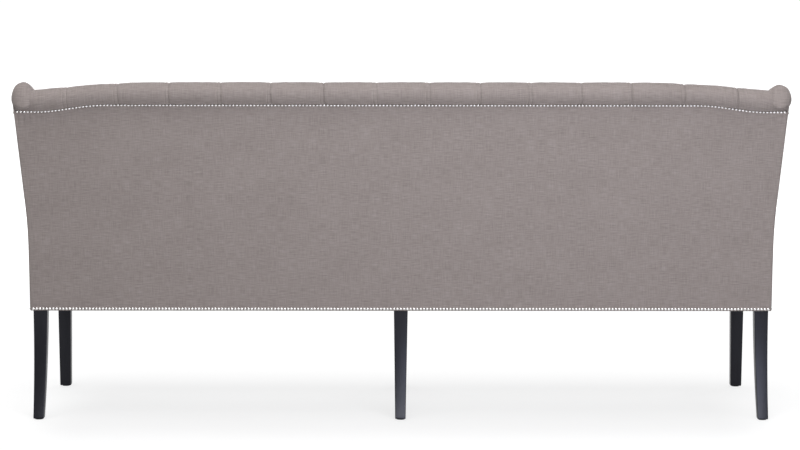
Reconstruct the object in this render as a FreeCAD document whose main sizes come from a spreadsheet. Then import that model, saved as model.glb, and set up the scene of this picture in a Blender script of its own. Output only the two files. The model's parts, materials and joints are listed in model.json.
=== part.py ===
import FreeCAD, Part
import math
import os
import Sketcher

# Upholstered banquette bench with a tufted, rolled back, short swept wings and six tapered legs.
# Frame of the model: X along the bench, Y from the front edge to the back, Z up from the floor.
# The origin is on the floor under the middle of the bench's box.

Vector = FreeCAD.Vector
Placement = FreeCAD.Placement
Rotation = FreeCAD.Rotation
X_AXIS = Vector(1, 0, 0)
Z_AXIS = Vector(0, 0, 1)

# Driving sizes in millimetres, angles in degrees.
DRIVING_SIZES = (
    # body over its cover
    ("body_width", "2127"),
    ("body_depth", "600"),
    ("apron_bottom", "308"),
    ("cloth", "2"),
    ("padding", "6"),
    ("fit_gap", "0.5"),
    # outside back: a flat, raked panel whose top line dips to the corners
    ("back_angle", "7.2"),
    ("panel_height", "598"),
    ("dip_drop", "19"),
    ("dip_length", "190"),
    ("corner_width", "64"),
    ("flare_out", "30"),
    ("flare_knuckle", "248"),
    ("flare_blend", "70"),
    # pleated top roll
    ("roll_radius", "34"),
    ("roll_overhang", "22"),
    ("roll_height", "63.5"),
    ("crest_drop", "24"),
    ("crest_length", "385"),
    ("crest_inset", "28.5"),
    ("crest_front_radius", "70"),
    ("pleat_depth", "4"),
    ("pleat_half_width", "7"),
    ("puff_rise", "1.5"),
    ("roll_foot_drop", "38"),
    # inside back
    ("back_thickness_top", "82"),
    ("back_thickness_seat", "112"),
    ("pad_foot", "150"),
    ("foam_thickness", "18"),
    ("tuft_margin", "114.5"),
    ("tuft_columns", "14"),
    ("tuft_row_drop", "28"),
    ("tuft_row_pitch", "121"),
    ("tuft_depth", "15"),
    ("tuft_half_width", "26"),
    ("button_radius", "11"),
    ("button_height", "5"),
    # timber
    ("leg_size", "40"),
    ("front_foot", "33"),
    ("rear_foot", "30"),
    ("outer_taper", "4"),
    ("foot_splay", "60"),
    ("glide_height", "3"),
    ("glide_radius", "11"),
    ("rail_thickness", "28"),
    ("rail_height", "110"),
    ("rail_lift", "3"),
    ("top_rail_height", "60"),
    ("back_rail_height", "50"),
    ("back_rail_foot", "160"),
    ("brace_reach", "70"),
    ("brace_height", "60"),
    ("brace_lift", "25"),
    ("bolt_radius", "4"),
    ("bolt_bite", "20"),
    ("bolt_head_radius", "7"),
    ("bolt_head_height", "5"),
    # seat
    ("seat_border", "42.5"),
    ("seat_shoulder_rise", "16"),
    ("seat_crown_rise", "10"),
    ("seat_rear_rise", "2"),
    ("seat_draw", "5"),
    ("seat_shoulder", "70"),
    ("seat_end_round", "26"),
    ("seat_end_drop", "20"),
    ("seat_foam_height", "38"),
    ("seat_foam_inset", "32"),
    ("strap_width", "50"),
    ("strap_thickness", "2"),
    ("strap_margin", "47.5"),
    ("strap_bearing", "20"),
    ("dust_cover_thickness", "1"),
    # wings
    ("wing_board", "18"),
    ("wing_pad", "26"),
    ("wing_crown", "8"),
    ("wing_roll_half_width", "35"),
    ("wing_roll_half_height", "41"),
    ("wing_roll_rise", "79.5"),
    ("wing_overhang", "2.8"),
    ("wing_toe_lift", "12"),
    ("wing_run", "40"),
    ("wing_slope", "9"),
    ("wing_fall_angle", "64"),
    ("wing_toe_angle", "38"),
    ("wing_shoulder_radius", "130"),
    ("wing_toe_radius", "240"),
    ("wing_toe_half_width", "18"),
    ("wing_toe_half_height", "22"),
    # nail trim
    ("trim_width", "9"),
    ("trim_thickness", "3"),
)
STRAPS_PER_HALF = 8
BACK_STRAPS_PER_HALF = 7
TUFT_ROWS = 3
ROLL_SIDES = 12
DIP_STEPS = 8
TRIM_STEPS = 6
SHOULDER_STEPS = 4
TOE_STEPS = 3
BUTTON_SIDES = 12
BOLT_HEAD_SIDES = 6
# Where the seat's front edge rolls over, as shares of the shoulder's depth and height.
SHOULDER_SHARES = (0.4, 0.75)
# Steps of the seat's rounded end: shares of its length, and of its drop.
END_SHARES = ((0.0, 1.0), (0.25, 0.45), (1.0, 0.0))
# Extra crown at a quarter of the seat's length and at its middle, as shares of the end's drop.
CROWN_SHARES = (0.1, 0.15)

doc = FreeCAD.newDocument("Banquette")
sheet = doc.addObject("Spreadsheet::Sheet", "Sizes")
for row, (alias, text) in enumerate(DRIVING_SIZES, start=1):
    sheet.set("A%d" % row, alias)
    sheet.set("B%d" % row, text)
    sheet.setAlias("B%d" % row, alias)
doc.recompute()


def value(expression):
    """The number that an expression of the sheet's sizes gives."""
    return float(sheet.evalExpression(expression))


class Named:
    """The sheet's sizes as plain numbers."""


s = Named()
for alias, text in DRIVING_SIZES:
    setattr(s, alias, value("Sizes." + alias))

# Sizes that follow from the driving ones.
rake = math.radians(s.back_angle)
half_body = s.body_width / 2
frame_inset = s.cloth + s.padding
half_frame = half_body - frame_inset
roll_axis_inset = s.roll_radius - s.roll_overhang
roll_axis_height = s.panel_height + s.roll_height - s.roll_radius
roll_reach = roll_axis_height * math.sin(rake) - roll_axis_inset * math.cos(rake) + s.roll_radius
front_y = -(s.body_depth + roll_reach) / 2
heel_y = front_y + s.body_depth
post_front = frame_inset + s.leg_size
web_front = post_front + s.strap_thickness
foam_front = web_front + s.foam_thickness
end_line = s.panel_height - s.dip_drop
roll_foot = s.panel_height - s.roll_foot_drop
tuft_top_row = roll_foot - s.tuft_row_drop
wing_roll_crest = s.apron_bottom + end_line * math.cos(rake) + s.wing_roll_rise
flare_slope = s.flare_out / (end_line - s.flare_knuckle)
lean = math.atan(flare_slope / math.cos(rake))
wing_inner = frame_inset + s.wing_board
rail_top = s.rail_lift + s.rail_height
apron_top = s.apron_bottom + rail_top + s.strap_thickness + s.fit_gap
seat_front_height = apron_top + s.seat_border
wing_toe_height = seat_front_height + s.wing_toe_lift
seat_shoulder_height = seat_front_height + s.seat_shoulder_rise
seat_crown_height = seat_shoulder_height + s.seat_crown_rise
seat_rear_height = seat_shoulder_height + s.seat_rear_rise
tuft_columns = int(round(s.tuft_columns))
tuft_pitch = 2 * (half_body - s.tuft_margin) / (tuft_columns - 1)
strap_pitch = (half_body - s.strap_margin) / STRAPS_PER_HALF
crest_end = half_body - s.crest_inset

# The raked back's own axes, and the front and rear faces of the timber frame.
BACK = Placement(Vector(0, heel_y, s.apron_bottom), Rotation(X_AXIS, -s.back_angle))
front_frame = Placement(Vector(0, front_y + frame_inset, 0), Rotation())
rear_frame = BACK * Placement(Vector(0, -frame_inset, 0), Rotation())

pieces = []


def keep(piece, label, placement=None):
    """Names a finished sub-part and, where given, places it."""
    piece.Label = label
    if placement is not None:
        piece.Placement = placement
    pieces.append(piece)
    return piece


def shaped(label, shape, placement=None):
    """A sub-part whose form is worked out by a function of this file."""
    piece = doc.addObject("Part::Feature", label)
    piece.Shape = shape
    return keep(piece, label, placement)


def new_body(name):
    return doc.addObject("PartDesign::Body", name)


def outline(body, name, role, loops, arcs=None, lift=None):
    """Sketch of closed loops on one of the body's own planes.

    Each corner is a pair of expressions of the sheet, which fix its two coordinates. The
    dictionary arcs names the edges that are round: the number of the corner where the edge
    starts, to its radius as an expression and the side that it bulges to, 1 left or -1 right.
    """
    sketch = body.newObject("Sketcher::SketchObject", name)
    plane = [f for f in body.Origin.OriginFeatures if f.Role == role][0]
    sketch.AttachmentSupport = [(plane, "")]
    sketch.MapMode = "FlatFace"
    if lift is not None:
        sketch.setExpression("AttachmentOffset.Base.z", lift)
    arcs = arcs or {}
    number = 0
    for corners in loops:
        places = [Vector(value(a), value(b), 0) for a, b in corners]
        ends = []
        first = number
        for i, start in enumerate(places):
            stop = places[(i + 1) % len(places)]
            if i in arcs:
                radius, side = arcs[i]
                through = bow(start, stop, value(radius), side)
                # A sketch holds arcs anticlockwise, so one that bulges left is drawn from its end.
                turn = (stop, through, start) if side > 0 else (start, through, stop)
                sketch.addGeometry(Part.Arc(*turn), False)
                ends.append((2, 1) if side > 0 else (1, 2))
            else:
                sketch.addGeometry(Part.LineSegment(start, stop), False)
                ends.append((1, 2))
            number += 1
        for i in range(len(places)):
            after = (i + 1) % len(places)
            sketch.addConstraint(Sketcher.Constraint(
                "Coincident", first + i, ends[i][1], first + after, ends[after][0]))
        for i, (across, along) in enumerate(corners):
            spot = places[i]
            for kind, text, place in (("DistanceX", across, spot.x), ("DistanceY", along, spot.y)):
                held = sketch.addConstraint(Sketcher.Constraint(kind, -1, 1, first + i, ends[i][0], place))
                sketch.setExpression("Constraints[%d]" % held, text)
        for i, (radius, side) in arcs.items():
            held = sketch.addConstraint(Sketcher.Constraint("Radius", first + i, value(radius)))
            sketch.setExpression("Constraints[%d]" % held, radius)
    return sketch


def bow(start, stop, radius, side):
    """Middle point of an arc of a given radius between two points of a plane."""
    chord = stop - start
    middle = (start + stop) * 0.5
    left = Vector(-chord.y, chord.x, 0).normalize()
    rise = radius - math.sqrt(radius ** 2 - (chord.Length / 2) ** 2)
    return middle + left * (side * rise)


def pad(body, sketch, length, middle=False, back=False):
    feature = body.newObject("PartDesign::Pad", sketch.Name + "_pad")
    feature.Profile = sketch
    feature.Midplane = middle
    feature.Reversed = back
    feature.setExpression("Length", length)
    sketch.Visibility = False
    return feature


def cut_through(body, sketch):
    """Pocket that runs right through the body, both ways from its sketch."""
    feature = body.newObject("PartDesign::Pocket", sketch.Name + "_pocket")
    feature.Profile = sketch
    feature.Type = "ThroughAll"
    feature.Midplane = True
    sketch.Visibility = False
    return feature


def board(label, role, corners, length, placement, middle=False, back=False, arcs=None):
    """Sawn or cut board: one outline, padded to its thickness."""
    body = new_body(label)
    pad(body, outline(body, label + "_outline", role, [corners], arcs), length, middle, back)
    return keep(body, label, placement)


# Expressions that several sketches share.
INSET = "(Sizes.cloth + Sizes.padding)"
HALF = "(Sizes.body_width / 2 - Sizes.cloth - Sizes.padding)"
TILT = "Sizes.back_angle * 1 deg"
RAIL_BASE = "(Sizes.apron_bottom + Sizes.rail_lift)"
RAIL_TOP = "(Sizes.apron_bottom + Sizes.rail_lift + Sizes.rail_height)"
POST_FRONT = "(%s + Sizes.leg_size)" % INSET
SLOPE = "(Sizes.flare_out / (Sizes.panel_height - Sizes.dip_drop - Sizes.flare_knuckle))"


def raked(inward, height):
    """Depth, from the front face, of a plane that lies inside the raked back, at a height."""
    return "Sizes.body_depth - (%s) / cos(%s) + (%s - Sizes.apron_bottom) * tan(%s)" % (
        inward, TILT, height, TILT)


# Legs
def taper_cuts(body, name, top, foot_level, right, left):
    """Wedges taken off the two sides of a leg below the apron, seen from the front."""
    over = "Sizes.leg_size"
    loops = []
    for sign, cut in (("", right), ("-", left)):
        side = "%s(Sizes.leg_size / 2)" % sign
        slim = "%s(Sizes.leg_size / 2 - %s)" % (sign, cut)
        wide = "%s(Sizes.leg_size / 2 + %s)" % (sign, over)
        loops.append([(side, top), (slim, foot_level), (slim, foot_level + " - " + over),
                      (wide, foot_level + " - " + over), (wide, top)])
    sketch = outline(body, name + "_taper", "XZ_Plane", loops)
    return cut_through(body, sketch)


def tapers(side, foot):
    """How much a leg loses on its right and left side: less on the side that faces out."""
    inner = "(Sizes.leg_size - %s - Sizes.outer_taper)" % foot
    both = "((Sizes.leg_size - %s) / 2)" % foot
    if side == 0:
        return both, both
    return ("Sizes.outer_taper", inner) if side > 0 else (inner, "Sizes.outer_taper")


def leg_x(side):
    return side * (half_frame - s.leg_size / 2)


def front_leg(label, side):
    body = new_body(label)
    foot = "Sizes.front_foot"
    front = INSET
    back = "(%s + Sizes.leg_size)" % INSET
    corners = [
        (front, RAIL_TOP),
        (front, "Sizes.apron_bottom"),
        (front + " + Sizes.outer_taper", "Sizes.glide_height"),
        (front + " + Sizes.outer_taper + " + foot, "Sizes.glide_height"),
        (back, "Sizes.apron_bottom"),
        (back, RAIL_TOP),
    ]
    pad(body, outline(body, label + "_side", "YZ_Plane", [corners]), "Sizes.leg_size", middle=True)
    right, left = tapers(side, foot)
    taper_cuts(body, label, "Sizes.apron_bottom", "Sizes.glide_height", right, left)
    keep(body, label, Placement(Vector(leg_x(side), front_y, 0), Rotation()))


def rear_leg(label, side):
    """Sabre leg: two arcs that leave the apron upright and sweep back to the foot."""
    body = new_body(label)
    foot = "Sizes.rear_foot"
    drop = "(Sizes.apron_bottom - Sizes.glide_height)"
    level = "-%s" % drop
    block = "(Sizes.rail_lift + Sizes.rail_height)"
    heel = "(Sizes.foot_splay - %s)" % INSET
    toe = "(%s - %s)" % (heel, foot)
    rise = "(%s * cos(%s) + %s * sin(%s))"
    run = "(%s * sin(%s) - %s * cos(%s))"
    back_arc = "((Sizes.foot_splay ^ 2 + %s ^ 2) / (2 * Sizes.foot_splay))" % drop
    sweep = "(Sizes.foot_splay + Sizes.leg_size - %s)" % foot
    front_arc = "((%s ^ 2 + %s ^ 2) / (2 * %s))" % (sweep, drop, sweep)
    corners = [
        ("-%s / cos(%s)" % (INSET, TILT), "0"),
        (heel, level),
        (toe, level),
        ("-%s / cos(%s)" % (POST_FRONT, TILT), "0"),
        (run % (block, TILT, POST_FRONT, TILT), rise % (block, TILT, POST_FRONT, TILT)),
        (run % (block, TILT, INSET, TILT), rise % (block, TILT, INSET, TILT)),
    ]
    arcs = {0: (back_arc, -1), 2: (front_arc, 1)}
    pad(body, outline(body, label + "_side", "YZ_Plane", [corners], arcs), "Sizes.leg_size", middle=True)
    right, left = tapers(side, foot)
    taper_cuts(body, label, "0", level, right, left)
    keep(body, label, Placement(Vector(leg_x(side), heel_y, s.apron_bottom), Rotation()))


SIDES = (("left", -1), ("middle", 0), ("right", 1))
for word, side in SIDES:
    front_leg("front_leg_" + word, side)
    rear_leg("rear_leg_" + word, side)


def glides():
    """Round nylon glides under the six feet."""
    discs = []
    front_foot_y = front_y + frame_inset + s.outer_taper + s.front_foot / 2
    rear_foot_y = heel_y + s.foot_splay - frame_inset - s.rear_foot / 2
    for side in (-1, 0, 1):
        for foot, y in ((s.front_foot, front_foot_y), (s.rear_foot, rear_foot_y)):
            inward = s.outer_taper - (s.leg_size - foot) / 2
            discs.append(Part.makeCylinder(
                s.glide_radius, s.glide_height, Vector(leg_x(side) - side * inward, y, 0)))
    return Part.makeCompound(discs)


shaped("foot_glides", glides())

# Seat frame
LEG_FACE = "(%s - Sizes.leg_size)" % HALF
MID_FACE = "(Sizes.leg_size / 2)"
# The rear rail leans with the back, and its front edge is level with the front rail's top.
DECK_FALL = "((%s + Sizes.rail_thickness) * sin(%s))" % (INSET, TILT)
REAR_RAIL_TOP = "((Sizes.rail_lift + Sizes.rail_height - %s) / cos(%s))" % (DECK_FALL, TILT)
for word, sign in (("left", "-"), ("right", "")):
    near = sign + MID_FACE
    far = sign + LEG_FACE
    foot = "Sizes.rail_lift"
    board("front_rail_" + word, "XZ_Plane",
          [(near, RAIL_BASE), (far, RAIL_BASE), (far, RAIL_TOP), (near, RAIL_TOP)],
          "Sizes.rail_thickness", front_frame, back=True)
    board("rear_rail_" + word, "XZ_Plane",
          [(near, foot), (far, foot), (far, REAR_RAIL_TOP), (near, REAR_RAIL_TOP)],
          "Sizes.rail_thickness", rear_frame)


def deck_rail(label, x):
    """Rail from a front leg to the rear leg behind it, its rear end cut to the back's rake."""
    corners = [
        (POST_FRONT, RAIL_BASE),
        (raked(POST_FRONT, RAIL_BASE), RAIL_BASE),
        (raked(POST_FRONT, RAIL_TOP), RAIL_TOP),
        (POST_FRONT, RAIL_TOP),
    ]
    board(label, "YZ_Plane", corners, "Sizes.rail_thickness", Placement(Vector(x, front_y, 0), Rotation()),
          middle=True)


rail_x = half_frame - s.rail_thickness / 2
deck_rail("side_rail_left", -rail_x)
deck_rail("cross_rail", 0)
deck_rail("side_rail_right", rail_x)


def brace_plan(leg_face, rail_face):
    """Plan of a corner block that fills the corner of two rails round the leg's inner edge.

    The first coordinate runs inward from the corner's upright plane, the second from the rail's
    outer face.
    """
    return [
        Vector(leg_face, s.rail_thickness, 0),
        Vector(leg_face + s.brace_reach, s.rail_thickness, 0),
        Vector(rail_face, s.leg_size + s.brace_reach, 0),
        Vector(rail_face, s.leg_size, 0),
        Vector(leg_face, s.leg_size, 0),
    ]


def brace_corners():
    """The four corners of one rail: its upright plane, the way inward, and the two faces."""
    for side in (-1, 1):
        yield side * half_frame, -side, s.leg_size, s.rail_thickness
        yield 0, side, s.leg_size / 2, s.rail_thickness / 2


def braces(depth_sign, foot):
    """Corner blocks of the front rail (depth sign 1) or the rear rail (-1)."""
    blocks = []
    for plane, inward, leg_face, rail_face in brace_corners():
        corners = brace_plan(leg_face, rail_face)
        plan = [Vector(plane + inward * p.x, depth_sign * p.y, foot) for p in corners]
        plan.append(plan[0])
        blocks.append(Part.Face(Part.makePolygon(plan)).extrude(Z_AXIS * s.brace_height))
    return Part.makeCompound(blocks)


front_brace_foot = s.apron_bottom + s.rail_lift + s.brace_lift
rear_brace_foot = s.rail_lift + s.brace_lift
shaped("front_corner_blocks", braces(1, front_brace_foot), front_frame)
shaped("rear_corner_blocks", braces(-1, rear_brace_foot), rear_frame)


def bolts(depth_sign, foot):
    """Hexagon bolts through the corner blocks into the inner edges of the legs."""
    made = []
    for plane, inward, leg_face, rail_face in brace_corners():
        plan = brace_plan(leg_face, rail_face)
        face_middle = (plan[1] + plan[2]) * 0.5
        edge = plan[4]
        slant = plan[2] - plan[1]
        out = Vector(-slant.y, slant.x, 0).normalize()
        if out.dot(face_middle - edge) < 0:
            out = out * -1
        seat = edge + out * (face_middle - edge).dot(out)
        length = (seat - edge).Length + s.bolt_bite
        direction = Vector(inward * out.x, depth_sign * out.y, 0)
        base = Vector(plane + inward * seat.x, depth_sign * seat.y, foot + s.brace_height / 2)
        shank = Part.makeCylinder(s.bolt_radius, length, base, direction * -1)
        rim = []
        for k in range(BOLT_HEAD_SIDES):
            turn = Rotation(direction, 360 * k / BOLT_HEAD_SIDES)
            rim.append(base + turn.multVec(Z_AXIS) * s.bolt_head_radius)
        rim.append(rim[0])
        head = Part.Face(Part.makePolygon(rim)).extrude(direction * s.bolt_head_height)
        made.append(shank.fuse(head))
    return made


shaped("front_leg_bolts", Part.makeCompound(bolts(1, front_brace_foot)), front_frame)
shaped("rear_leg_bolts", Part.makeCompound(bolts(-1, rear_brace_foot)), rear_frame)


def seat_straps():
    """Woven webbing from the front rail to the rear rail, on top of both."""
    z = s.apron_bottom + rail_top
    front = front_y + frame_inset + s.rail_thickness - s.strap_bearing
    edge = frame_inset + s.rail_thickness
    rear = heel_y - edge / math.cos(rake) + rail_top * math.tan(rake) + s.strap_bearing / 2
    straps = []
    for side in (-1, 1):
        for k in range(STRAPS_PER_HALF):
            x = side * (k + 0.5) * strap_pitch - s.strap_width / 2
            straps.append(Part.makeBox(s.strap_width, rear - front, s.strap_thickness, Vector(x, front, z)))
    return Part.makeCompound(straps)


shaped("seat_webbing", seat_straps())


def dust_cover():
    """Black cloth tacked under the rails, cut round the legs."""
    top = s.apron_bottom + s.rail_lift
    gap = s.fit_gap
    rear = s.body_depth - (frame_inset + s.rail_thickness) / math.cos(rake)
    depth = rear - frame_inset
    sheet_solid = Part.makeBox(2 * half_frame, depth, s.dust_cover_thickness,
                               Vector(-half_frame, front_y + frame_inset, top - s.dust_cover_thickness))
    for side in (-1, 0, 1):
        for y in (front_y + frame_inset, heel_y - post_front - s.leg_size):
            reach = s.leg_size if y < 0 else 3 * s.leg_size
            hole = Part.makeBox(s.leg_size + 2 * gap, reach + 2 * gap, s.leg_size,
                                Vector(leg_x(side) - s.leg_size / 2 - gap, y - gap, top - s.leg_size / 2))
            sheet_solid = sheet_solid.cut(hole)
    return sheet_solid


# Back frame
def post(label, side):
    """Upright on a rear leg's block. The outer two lean out with the flare above the knuckle."""
    top = "(Sizes.panel_height - Sizes.dip_drop - Sizes.top_rail_height)"
    base = "(Sizes.rail_lift + Sizes.rail_height)"
    if side == 0:
        corners = [("-" + MID_FACE, base), (MID_FACE, base), (MID_FACE, top), ("-" + MID_FACE, top)]
    else:
        sign = "" if side > 0 else "-"
        lean_out = "(%s + (%s - Sizes.flare_knuckle) * %s)" % ("%s", top, SLOPE)
        outer = [HALF, HALF, lean_out % HALF]
        inner = [text.replace(HALF, LEG_FACE) for text in outer]
        levels = [base, "Sizes.flare_knuckle", top]
        corners = [(sign + a, b) for a, b in zip(outer, levels)]
        corners += [(sign + a, b) for a, b in reversed(list(zip(inner, levels)))]
    board(label, "XZ_Plane", corners, "Sizes.leg_size", rear_frame)


for word, side in SIDES:
    post("back_post_" + word, side)


def top_rail():
    """Rail along the top of the back; its upper edge follows the dips of the top line."""
    low = "(Sizes.panel_height - Sizes.dip_drop - Sizes.top_rail_height)"
    high = "(Sizes.panel_height - 4 * Sizes.fit_gap)"
    end_high = "(%s - Sizes.dip_drop)" % high
    base_half = "(%s + (%s - Sizes.flare_knuckle) * %s)" % (HALF, low, SLOPE)
    end_low = "(%s - 2 * Sizes.trim_width)" % end_high
    end_half = "(%s + (%s - Sizes.flare_knuckle) * %s)" % (HALF, end_low, SLOPE)
    dip_out = "(Sizes.body_width / 2 + Sizes.flare_out - Sizes.corner_width)"
    dip_mid = "(%s - Sizes.dip_length / 2)" % dip_out
    dip_in = "(%s - Sizes.dip_length)" % dip_out
    mid_high = "(%s - Sizes.dip_drop / 2)" % high
    radius = "(((Sizes.dip_length / 2) ^ 2 + (Sizes.dip_drop / 2) ^ 2) / Sizes.dip_drop)"
    right = [(base_half, low), (end_half, end_low), (dip_out, end_high)]
    right += [(dip_mid, mid_high), (dip_in, high)]
    corners = right + [("-" + a, b) for a, b in reversed(right)]
    arcs = {2: (radius, 1), 3: (radius, -1), 5: (radius, -1), 6: (radius, 1)}
    board("top_rail", "XZ_Plane", corners, "Sizes.leg_size", rear_frame, arcs=arcs)


top_rail()

for word, sign in (("left", "-"), ("right", "")):
    level = "Sizes.back_rail_foot"
    board("lower_back_rail_" + word, "XZ_Plane",
          [(sign + MID_FACE, level), (sign + LEG_FACE, level),
           (sign + LEG_FACE, level + " + Sizes.back_rail_height"),
           (sign + MID_FACE, level + " + Sizes.back_rail_height")],
          "Sizes.rail_thickness",
          BACK * Placement(Vector(0, -post_front + s.rail_thickness, 0), Rotation()))


def back_straps():
    """Upright webbing on the front of the back rails, between the posts."""
    foot = s.back_rail_foot + s.back_rail_height / 4
    head = end_line - s.top_rail_height / 4
    straps = []
    for side in (-1, 1):
        for k in range(BACK_STRAPS_PER_HALF):
            x = side * (k + 0.5) * tuft_pitch - s.strap_width / 2
            straps.append(Part.makeBox(s.strap_width, s.strap_thickness, head - foot,
                                       Vector(x, -web_front, foot)))
    return Part.makeCompound(straps)


shaped("back_webbing", back_straps(), BACK)


# Outlines of the wings and the flared sides
def width_at(level):
    """Half width of the covered body at a height up the raked back, without the blend."""
    return half_body + max(level - s.flare_knuckle, 0) * flare_slope


def height_to_level(z):
    """Height above the floor to height up the raked back, on the back's own plane."""
    return (z - s.apron_bottom) / math.cos(rake)


def level_to_height(level):
    return s.apron_bottom + level * math.cos(rake)


def flank(offset, low, high, side=1):
    """Edges up the flared side, seen from the front: upright line, blend arc and leaning line.

    Offset is the distance inside the outer cover. The blend is tangent to both lines.
    """
    knuckle = level_to_height(s.flare_knuckle)
    slope = flare_slope / math.cos(rake)
    turn = math.atan(slope)
    x = half_body - offset
    low_point = Vector(x, 0, low)
    a = Vector(x, 0, knuckle - s.flare_blend)
    c = Vector(x + s.flare_blend * math.sin(turn), 0, knuckle + s.flare_blend * math.cos(turn))
    radius = s.flare_blend / math.tan(turn / 2)
    centre = Vector(x + radius, 0, knuckle - s.flare_blend)
    b = centre + Vector(-math.cos(turn / 2), 0, math.sin(turn / 2)) * radius
    d = Vector(x + (high - knuckle) * slope, 0, high)
    points = [low_point, a, b, c, d]
    points = [Vector(side * p.x, p.y, p.z) for p in points]
    return points


def flank_band(outer, inner, low, high, side, near, far):
    """Curved sheet between two offsets of the flared side, from one depth to another."""
    o = flank(outer, low, high, side)
    i = flank(inner, low, high, side)
    edges = [
        Part.LineSegment(o[0], o[1]).toShape(),
        Part.Arc(o[1], o[2], o[3]).toShape(),
        Part.LineSegment(o[3], o[4]).toShape(),
        Part.LineSegment(o[4], i[4]).toShape(),
        Part.LineSegment(i[4], i[3]).toShape(),
        Part.Arc(i[3], i[2], i[1]).toShape(),
        Part.LineSegment(i[1], i[0]).toShape(),
        Part.LineSegment(i[0], o[0]).toShape(),
    ]
    face = Part.Face(Part.Wire(edges))
    face.translate(Vector(0, near, 0))
    return face.extrude(Vector(0, far - near, 0))


knob_height = wing_roll_crest - s.wing_roll_half_height
knob_y = heel_y + height_to_level(knob_height) * math.sin(rake) - roll_axis_inset * math.cos(rake)
wing_fall = (knob_height - wing_toe_height) / math.cos(lean)


def wing_route():
    """Centre line of the wing's edge roll in the wing's own plane, as forward and upward distances.

    A short run from the knob, a shoulder arc that turns down, a straight fall and a toe arc that
    turns forward again. The straight fall takes up what the arcs leave of the wing's height.
    """
    a = math.radians(s.wing_slope)
    b = math.radians(s.wing_fall_angle)
    c = math.radians(s.wing_toe_angle)
    run = (s.wing_run * math.cos(a), -s.wing_run * math.sin(a))
    shoulder = (s.wing_shoulder_radius * (math.sin(b) - math.sin(a)),
                -s.wing_shoulder_radius * (math.cos(a) - math.cos(b)))
    toe = (s.wing_toe_radius * (math.sin(b) - math.sin(c)),
           -s.wing_toe_radius * (math.cos(c) - math.cos(b)))
    left = wing_fall + run[1] + shoulder[1] + toe[1]
    straight = left / math.sin(b)
    return run, shoulder, straight, toe, (a, b, c)


def wing_stations():
    """Points of the route with the angle of fall and the share of the length behind them."""
    run, shoulder, straight, toe, (a, b, c) = wing_route()
    lengths = [s.wing_run, s.wing_shoulder_radius * (b - a), straight, s.wing_toe_radius * (b - c)]
    whole = sum(lengths)
    stations = []
    stations.append((0, 0, a, 0))
    stations.append((run[0], run[1], a, lengths[0] / whole))
    for k in range(1, SHOULDER_STEPS + 1):
        angle = a + (b - a) * k / SHOULDER_STEPS
        forward = run[0] + s.wing_shoulder_radius * (math.sin(angle) - math.sin(a))
        up = run[1] - s.wing_shoulder_radius * (math.cos(a) - math.cos(angle))
        stations.append((forward, up, angle, (lengths[0] + lengths[1] * k / SHOULDER_STEPS) / whole))
    forward = run[0] + shoulder[0] + straight * math.cos(b)
    up = run[1] + shoulder[1] - straight * math.sin(b)
    stations.append((forward, up, b, (lengths[0] + lengths[1] + lengths[2]) / whole))
    for k in range(1, TOE_STEPS + 1):
        angle = b + (c - b) * k / TOE_STEPS
        ahead = forward + s.wing_toe_radius * (math.sin(b) - math.sin(angle))
        lower = up - s.wing_toe_radius * (math.cos(angle) - math.cos(b))
        stations.append((ahead, lower, angle, (whole - lengths[3] * (1 - k / TOE_STEPS)) / whole))
    return stations


def wing_point(forward, up, out, side):
    """Place of a point given in the wing's plane: forward and up in it, out square to it."""
    z = knob_height + up * math.cos(lean) - out * math.sin(lean)
    surface = width_at(height_to_level(knob_height)) + up * math.sin(lean) + out * math.cos(lean)
    return Vector(side * surface, knob_y - forward, z)


def oval_points(station, side, turns):
    """Corners of the edge roll's oval section at given angles round it, in degrees."""
    forward, up, angle, share = station
    wide = s.wing_roll_half_width + (s.wing_toe_half_width - s.wing_roll_half_width) * share
    tall = s.wing_roll_half_height + (s.wing_toe_half_height - s.wing_roll_half_height) * share
    proud = s.wing_overhang * (1 - share)
    points = []
    for turn in turns:
        across = wide * math.cos(math.radians(turn))
        high = tall * math.sin(math.radians(turn))
        points.append(wing_point(forward + high * math.sin(angle), up + high * math.cos(angle),
                                 proud - wide + across, side))
    return points


def oval(station, side):
    """Closed section of the edge roll, cut to a polygon of equal turns."""
    step = 360 / ROLL_SIDES
    return Part.makePolygon(oval_points(station, side, [step * k for k in range(ROLL_SIDES)] + [0]))


def knob(side):
    """Rounded rear end of the edge roll: half of its first section turned about its long axis."""
    step = 360 / ROLL_SIDES
    turns = [-90 + step * k for k in range(ROLL_SIDES // 2 + 1)]
    points = oval_points(wing_stations()[0], side, turns)
    ring = points + [points[0]]
    axis = points[-1] - points[0]
    return Part.Face(Part.makePolygon(ring)).revolve(points[0], axis, 180 if side > 0 else -180)


def wing_roll_shape(side):
    sections = [oval(station, side) for station in wing_stations()]
    body = Part.makeLoft(sections, True, True)
    return body.fuse(knob(side))


def wing_region(side, foot, rear_inset):
    """Prism across the wing over the region that its boards fill: up to the roll's centre line."""
    def rear_at(z):
        return heel_y - rear_inset / math.cos(rake) + (z - s.apron_bottom) * math.tan(rake)

    line = [wing_point(a, b, 0, side) for a, b, c, d in wing_stations()]
    top = line[0].z
    path = [Vector(0, rear_at(foot), foot), Vector(0, rear_at(top), top)]
    path += [Vector(0, p.y, p.z) for p in line if p.y < rear_at(p.z)]
    path.append(Vector(0, line[-1].y, foot))
    path.append(path[0])
    face = Part.Face(Part.makePolygon(path))
    width = s.body_width
    return face.extrude(Vector(side * width, 0, 0))


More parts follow.
